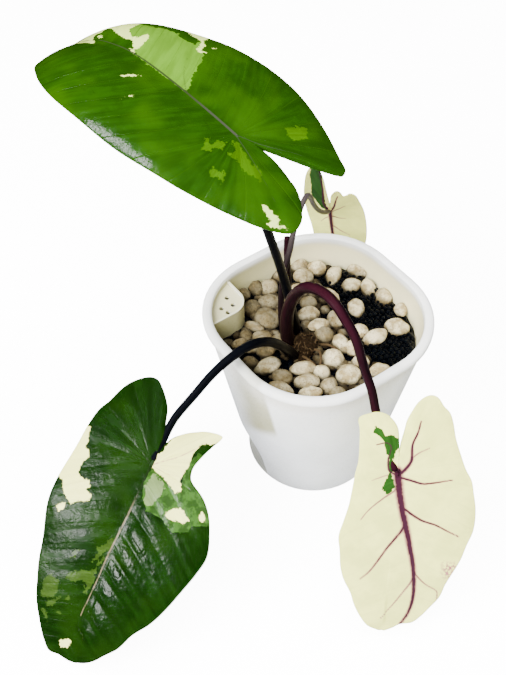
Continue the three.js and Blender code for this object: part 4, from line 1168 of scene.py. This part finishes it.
class ALOCASIA_OT_pot(bpy.types.Operator):
    """Build the pot with its rolled lip, air column and foot opening"""
    bl_idname = "alocasia.pot"
    bl_label = "Pot"

    def execute(self, context):
        walls = [body_ring(0, 0.9), body_ring(0.4, 0.3), body_ring(1.2)]
        walls += [body_ring(z) for z in WALL_LEVELS]
        walls += [body_ring(NECK - 0.3, -0.1), rim_ring(NECK, 1.4), rim_ring(NECK + 0.25, 0.55)]
        walls += [rim_ring(NECK + 0.8, 0.12)]
        walls += [rim_ring(NECK + up, inset) for up, inset in LIP]
        outer = skin("outer", closed(walls))
        inner_levels = [rim_ring(NECK + 1.2, 5.2), body_ring(NECK - 2, WALL + 0.2)]
        inner_levels += [body_ring(z, WALL) for z in (100, 80, 50, 20, FLOOR)]
        shell = skin("pot_shell", closed(walls + inner_levels))
        column = column_form(0, FLOOR - 1, COLUMN_TOP)
        use_modifier(column, "BOOLEAN", operation="INTERSECT", object=outer, solver="EXACT")
        niche = arch_form(ARCH_WALL)
        use_modifier(niche, "BOOLEAN", operation="INTERSECT", object=outer, solver="EXACT")
        bpy.data.objects.remove(outer)
        carve(shell, column, "UNION")
        carve(shell, niche, "UNION")
        inside = skin("inside", closed([body_ring(z, WALL + 0.01) for z in (FLOOR + 2, PLATE_UNDER)]))
        channel = carve(column_form(-COLUMN_WALL, FLOOR + 2, PLATE_UNDER), inside, "INTERSECT")
        carve(shell, channel, "DIFFERENCE")
        above = skin("above", closed([body_ring(z, WALL + 0.01) for z in (PLATE_TOP, COLUMN_TOP + 3)]))
        recess = carve(column_form(-1.1, PLATE_TOP, COLUMN_TOP + 2), above, "INTERSECT")
        carve(shell, recess, "DIFFERENCE")
        angles = np.linspace(0, 2 * math.pi, 20, endpoint=False)
        for x, y in PLATE_HOLES:
            circle = [(x + HOLE_RADIUS * math.cos(a), y + HOLE_RADIUS * math.sin(a)) for a in angles]
            rings = [turned([(px, py, z) for px, py in circle]) for z in (103, 110)]
            carve(shell, skin("drill", closed(rings)), "DIFFERENCE")
        carve(shell, arch_form(0), "DIFFERENCE")
        smooth_edges(shell, 32)
        shell.name = "milky_pot"
        dress(shell, pot_plastic(), "pot_plastic", "pot")
        return {"FINISHED"}


class ALOCASIA_OT_bed(bpy.types.Operator):
    """Fill the pot with black granules and dress it with pumice"""
    bl_idname = "alocasia.bed"
    bl_label = "Bed"

    def execute(self, context):
        given = context.scene.alocasia_bed
        random = np.random.default_rng(SEED)
        self.granules(given, random)
        self.pumice(given, random)
        return {"FINISHED"}

    def granules(self, given, random):
        rings = [body_ring(z, WALL + 0.4) for z in (FLOOR + 0.4, 40, BED_LEVEL - 1.5)]
        top = np.array(body_ring(BED_LEVEL, WALL + 0.4))
        for share in (1, 0.9, 0.8, 0.7, 0.6, 0.5, 0.4, 0.3, 0.2, 0.1):
            rings.append([(x * share, y * share, z - 1.2 + 0.5 * random.random()) for x, y, z in top])
        fill = skin("fill", closed(rings))
        carve(fill, arch_form(ARCH_WALL + 0.4), "DIFFERENCE")
        carve(fill, column_form(0.4, FLOOR, COLUMN_TOP), "DIFFERENCE")
        for mark in ("tint", "low"):
            store(fill, mark, np.zeros(len(fill.data.vertices)))
        radius, pitch = given.granule_radius / MM, given.granule_pitch / MM
        deselect()
        bpy.ops.mesh.primitive_ico_sphere_add(subdivisions=2, radius=1.0)
        bpy.ops.object.shade_smooth()
        ball = bpy.context.object
        grown = [(x * 1.06, y * 1.04) for x, y in PATCH]
        balls = []
        for layer, lift in enumerate((-1.6, 0.3)):
            for row, y in enumerate(np.arange(-54, 58, pitch * 0.87)):
                for x in np.arange(-52 + (row % 2 + layer) * pitch / 2, 55, pitch):
                    px, py = x + random.normal(0, 0.28), y + random.normal(0, 0.28)
                    open_bed = inset_at(px, py, grown) > random.normal(0, 0.8)
                    if off_the_bed(px, py, 1.6) or under_pebble(px, py) or not (open_bed or layer):
                        continue
                    size = radius * random.uniform(0.86, 1.12)
                    where = (px, py, BED_LEVEL + lift - (0 if open_bed else 1.6) + random.normal(0, 0.4))
                    turn = upright_turn(random.uniform(0, 6))
                    balls.append(copy_at(ball, where, (size, size, size), turn, 0.0))
        bpy.data.objects.remove(ball)
        bed = join([fill] + balls, "granule_bed")
        keep_in_pot(bed, 0.3)
        dress(bed, black_granule(), "granule", "black_granules")

    def pumice(self, given, random):
        stones = [rock(f"stone_{k}", 4, 3.7 + k, 0.9) for k in range(6)]
        crumbs = [rock(f"crumb_{k}", 2, 19.1 + k, 1.1) for k in range(4)]
        placed = []
        for k, (x, y, length_x, length_y, degrees) in enumerate(PEBBLES):
            tall = 0.36 * min(length_x, length_y) + 0.5
            top = PEBBLE_TOP + random.uniform(-1.2, 1.2)
            tilt_x, tilt_y = (Matrix.Rotation(random.uniform(-0.25, 0.25), 3, axis) for axis in "XY")
            turn = (Matrix.Rotation(math.radians(degrees), 3, "Z") @ (tilt_x @ tilt_y)).to_quaternion()
            # Stones on the left lean to the dark tone as painted shade from the wall and the top leaf; the
            # spread about it is their own tone.
            shade_by_side = 0.8 if x < -16 else 0.48 if x < 12 else 0.1
            khaki_and_shade = np.clip(random.normal(shade_by_side, 0.24), 0, 1)
            size = (length_x / 2 * 1.03, length_y / 2 * 1.03, tall)
            placed.append(copy_at(stones[k % 6], (x, y, top - tall), size, turn, khaki_and_shade))
        count = 0
        while count < given.crumbs:
            x, y = random.uniform(-50, 52), random.uniform(-50, 55)
            if off_the_bed(x, y, 2.5) or inset_at(x, y, PATCH) > (-1 if count % 12 else 3):
                continue
            count += 1
            size = random.uniform(0.8, 1.9) if count % 2 else random.uniform(2.2, 3.4)
            shape = size * np.array([random.uniform(0.8, 1.3), random.uniform(0.8, 1.2),
                                     random.uniform(0.6, 0.9)])
            turn = upright_turn(random.uniform(0, 6))
            where = (x, y, BED_LEVEL + 0.3 - 0.5 * size + random.uniform(0, 1.0))
            # Crumbs in the gaps lean to the dark tone: painted shade between the stones, with some of their
            # own khaki.
            khaki_and_shade = np.clip(random.normal(0.7, 0.25), 0, 1)
            placed.append(copy_at(crumbs[count % 4], where, shape, turn, khaki_and_shade))
        for form in stones + crumbs:
            bpy.data.objects.remove(form)
        dressing = join(placed, "pumice_dressing")
        keep_in_pot(dressing, 0.35)
        dress(dressing, pumice_stone(), "pumice", "pumice_stones")


class ALOCASIA_OT_rootstock(bpy.types.Operator):
    """Model the fibrous rootstock with its roots and loose fibres"""
    bl_idname = "alocasia.rootstock"
    bl_label = "Rootstock"

    def execute(self, context):
        random = np.random.default_rng(SEED + 1)
        lumps = []
        for k, (x, y, z, rx, ry, rz) in enumerate(LUMPS):
            lump = rock(f"lump_{k}", 5, 31.0 + k, 0.8)
            placed = copy_at(lump, (x, y, z), (rx, ry, rz), upright_turn(0.3), 0.0)
            bpy.data.objects.remove(lump)
            lumps.append(placed)
        core = join(lumps, "rootstock")
        use_modifier(core, "REMESH", mode="VOXEL", voxel_size=0.0006)
        for vertex in core.data.vertices:
            p = vertex.co / MM
            ridges = noise.noise(Vector((p.x * 0.9, p.y * 0.9,
                                         p.z * 0.22))) * 0.9 + noise.noise(p * 1.6) * 0.35
            vertex.co += vertex.normal * ridges * MM
        bpy.ops.object.shade_smooth()
        store(core, "tint", np.zeros(len(core.data.vertices)))
        parts = [core]
        for k, points in enumerate(ROOTS):
            root = tube(f"root_{k}", curve_through(points, 26), np.linspace(0.75, 0.5, 26), 8)
            store(root, "tint", np.full(len(root.data.vertices), 0.6))
            parts.append(root)
        for k in range(150):
            lump = LUMPS[[0, 0, 1, 1, 2][k % 5]]
            centre, radii = np.array(lump[:3]), np.array(lump[3:])
            start = random.uniform(0, 2 * math.pi)
            level = random.uniform(-0.1, 0.95)
            points = []
            for step in range(5):
                angle = start + step * random.uniform(0.12, 0.32)
                ring = math.sqrt(max(0.02, 1 - level**2))
                lift = 1.05 + 0.12 * math.sin(step * 1.4 + k)
                points.append(centre + radii * lift * np.array([ring * math.cos(angle),
                                                                ring * math.sin(angle), level]))
                level = np.clip(level + random.uniform(-0.22, 0.1), -0.3, 1)
            fibre = tube(f"fibre_{k}", curve_through(points, 12), np.linspace(0.30, 0.12, 12), 6, dome=False)
            store(fibre, "tint", np.full(len(fibre.data.vertices), random.uniform(0.1, 1.0)))
            parts.append(fibre)
        dress(join(parts, "fibrous_rootstock"), husk(), "rootstock", "corm")
        return {"FINISHED"}


class ALOCASIA_OT_stalks(bpy.types.Operator):
    """Model the leaf stalks and the cut sheath beside them"""
    bl_idname = "alocasia.stalks"
    bl_label = "Stalks"

    def execute(self, context):
        # The second colour serves both the streaks' warm tone and the painted sheen; the number is that
        # sheen's strength.
        black = stalk_skin("Black Stalk", (0.0006, 0.0007, 0.0014), (0.0024, 0.0028, 0.0044),
                           (0.0020, 0.0011, 0.0012), 0.5)
        maroon = stalk_skin("Maroon Stalk", (0.0024, 0.0011, 0.0018), (0.0180, 0.0028, 0.0064),
                            (0.0070, 0.0034, 0.0028), 0.9)
        # The mauve stalk's last colour is its paler upper stretch, partly its own mauve-grey and partly a
        # painted highlight.
        mauve = stalk_skin("Mauve Stalk", (0.0030, 0.0016, 0.0022), (0.0120, 0.0060, 0.0070),
                           (0.0060, 0.0030, 0.0026), 0.7,
                           (0.075, 0.060, 0.058))
        finishes = {"top": black, "left": black, "right": maroon, "back": mauve}
        for name, (foot, head, points) in STALKS.items():
            count = 120
            path = np.array(curve_through(points, count))
            for _ in range(8):
                path[1:-1] = 0.25 * path[:-2] + 0.5 * path[1:-1] + 0.25 * path[2:]
            path = path[np.linalg.norm(path - path[-1], axis=1) > head + (1.6 if name == "top" else 0.6)]
            share = np.linspace(0, 1, len(path))
            radii = head + (foot - head) * (1 - share) ** 2
            groove = 0.24 if name == "right" else 0.06
            stalk = tube("stalk_" + name, path, radii, 24, groove)
            slot_name = "black_stalk" if name in ("top", "left") else "maroon_stalk"
            dress(stalk, finishes[name], slot_name, "petiole_" + name)
        foot, head, points = STUB
        stub = tube("cut_sheath", curve_through(points, 60), np.linspace(foot, head, 60), 20, 0.3, dome=False)
        dress(stub, maroon, "maroon_stalk", "sheath_stub")
        return {"FINISHED"}


class ALOCASIA_OT_blades(bpy.types.Operator):
    """Model the four leaf blades with their veins and variegation"""
    bl_idname = "alocasia.blades"
    bl_label = "Blades"

    def execute(self, context):
        given = context.scene.alocasia_plant
        cream = tuple(given.cream)
        top_green, left_green = tuple(given.top_green), tuple(given.left_green)
        bright = {
            "dark": toned(top_green, 0.62), "green": top_green, "light": (0.019, 0.064, 0.0006),
            "olive": (0.021, 0.060, 0.0005), "sage": (0.045, 0.085, 0.016), "lime": (0.058, 0.138, 0.0075),
            "cream": (0.50, 0.60, 0.15), "rib": (0.030, 0.034, 0.022), "rib_far": (0.020, 0.030, 0.010),
            "blush": (0.060, 0.070, 0.040), "wear": 0.0,
        }
        deep = {
            "dark": toned(left_green, 0.5), "green": left_green, "light": (0.0070, 0.026, 0.0007),
            "olive": (0.017, 0.036, 0.0040), "sage": (0.0125, 0.036, 0.0042), "lime": (0.090, 0.130, 0.045),
            "cream": (0.78, 0.78, 0.24), "rib": (0.0050, 0.0120, 0.0020), "rib_far": (0.110, 0.082, 0.050),
            "blush": (0.42, 0.24, 0.16), "wear": 0.75,
        }
        finishes = {
            "top": green_blade("Bright Green Blade", bright, 0.25, 1.0, 0.14, 0.0),
            "left": green_blade("Dark Green Blade", deep, 0.10, 2.4, 0.18, 0.05),
            "right": cream_blade("Cream Blade", cream, (0.66, 0.68, 0.18), (0.034, 0.0075, 0.017),
                                 (0.30, 0.085, 0.12),
                                 (0.009, 0.038, 0.004)),
        }
        finishes["back"] = finishes["right"]
        slots = {"top": "bright_green_blade", "left": "dark_green_blade", "right": "cream_blade",
                 "back": "cream_blade"}
        for name, leaf in BLADES.items():
            blade = blade_form("leaf_" + name, leaf, given.blade_thickness)
            dress(blade, finishes[name], slots[name], "blade_" + name)
        return {"FINISHED"}


class ALOCASIA_OT_stage(bpy.types.Operator):
    """Set the floor, the lights and the camera"""
    bl_idname = "alocasia.stage"
    bl_label = "Stage"

    def execute(self, context):
        given = context.scene.alocasia_stage
        deselect()
        bpy.ops.mesh.primitive_plane_add(size=FLOOR_SIZE)
        floor = context.object
        floor.name = "floor"
        made, tree, shader = material("Pale Floor", Roughness=0.8, Specular_IOR_Level=0.1)
        tone = mottled(tree, place(tree), 0.002, (0.90, 0.90, 0.90), (0.93, 0.93, 0.93))
        seen = add(tree, "ShaderNodeLightPath").outputs["Is Camera Ray"]
        tree.links.new(times(tree, seen, given.floor_glow), shader.inputs["Emission Strength"])
        tree.links.new(tone, shader.inputs["Emission Color"])
        finish_surface(tree, shader, tone)
        floor.data.materials.append(made)
        floor.visible_glossy = False
        world = bpy.data.worlds.new("Even Light")
        context.scene.world = world
        world.use_nodes = True
        back = world.node_tree.nodes["Background"]
        back.inputs["Color"].default_value = (0.96, 0.98, 1.0, 1)
        back.inputs["Strength"].default_value = given.sky
        world.cycles_visibility.glossy = False
        soft = self.light("soft front", (-0.66, -0.74, 1.08), (0, 0, 0.1), (1.0, 1.0), given.front_power)
        soft.visible_glossy = False
        overhead = self.light("soft top", (0.15, 0.1, 1.4), (0, 0, 0.1), (0.9, 0.9), given.top_power)
        overhead.visible_glossy = False
        self.light("high window", (-0.41, 0.15, 1.36), (-0.08, -0.04, 0.24), (0.30, 0.12), given.window_power)
        self.light("side lamp", (-1.13, -0.53, 0.42), (-0.09, -0.1, 0.07), (0.26, 0.26), given.side_power)
        self.camera()
        return {"FINISHED"}

    def light(self, name, where, target, size, power):
        deselect()
        bpy.ops.object.light_add(type="AREA", location=where)
        lamp = bpy.context.object
        lamp.name = name
        lamp.data.shape = "ELLIPSE"
        lamp.data.size, lamp.data.size_y = size
        lamp.data.energy = power
        aim = Vector(target) - Vector(where)
        lamp.rotation_euler = aim.to_track_quat("-Z", "Y").to_euler()
        return lamp

    def camera(self):
        data = bpy.data.cameras.new("camera")
        eye = bpy.data.objects.new("camera", data)
        bpy.context.scene.collection.objects.link(eye)
        data.sensor_fit = "AUTO"
        data.sensor_width = SENSOR_WIDTH
        data.lens = LENS
        ahead = Vector((0, math.cos(CAMERA_PITCH), -math.sin(CAMERA_PITCH)))
        right = Vector((1, 0, 0))
        up = right.cross(ahead)
        level = right * math.cos(CAMERA_ROLL) + up * math.sin(CAMERA_ROLL)
        upright = up * math.cos(CAMERA_ROLL) - right * math.sin(CAMERA_ROLL)
        turn = Matrix((level, upright, -ahead)).transposed()
        eye.matrix_world = Matrix.Translation(Vector(CAMERA_AT) * MM) @ turn.to_4x4()
        bpy.context.scene.camera = eye


class ALOCASIA_PT_panel(bpy.types.Panel):
    bl_idname = "ALOCASIA_PT_panel"
    bl_label = "Potted Alocasia"
    bl_space_type = "VIEW_3D"
    bl_region_type = "UI"
    bl_category = "Alocasia"

    def draw(self, context):
        for settings in ("pot", "bed", "plant", "stage"):
            group = getattr(context.scene, "alocasia_" + settings)
            box = self.layout.box()
            for name in group.bl_rna.properties.keys():
                if name not in ("rna_type", "name"):
                    box.prop(group, name)
        for step in STEPS:
            self.layout.operator("alocasia." + step)


SETTINGS = {
    "alocasia_pot": AlocasiaPotSettings,
    "alocasia_bed": AlocasiaBedSettings,
    "alocasia_plant": AlocasiaPlantSettings,
    "alocasia_stage": AlocasiaStageSettings,
}
STEPS = ("stage", "pot", "bed", "rootstock", "stalks", "blades")
CLASSES = (
    *SETTINGS.values(), ALOCASIA_OT_stage, ALOCASIA_OT_pot, ALOCASIA_OT_bed, ALOCASIA_OT_rootstock,
    ALOCASIA_OT_stalks, ALOCASIA_OT_blades, ALOCASIA_PT_panel,
)


def register():
    for each in CLASSES:
        bpy.utils.register_class(each)
    for name, group in SETTINGS.items():
        setattr(bpy.types.Scene, name, bpy.props.PointerProperty(type=group))


def unregister():
    for name in SETTINGS:
        delattr(bpy.types.Scene, name)
    for each in reversed(CLASSES):
        bpy.utils.unregister_class(each)


def main():
    register()
    for step in STEPS:
        getattr(bpy.ops.alocasia, step)()


if __name__ == "__main__":
    main()
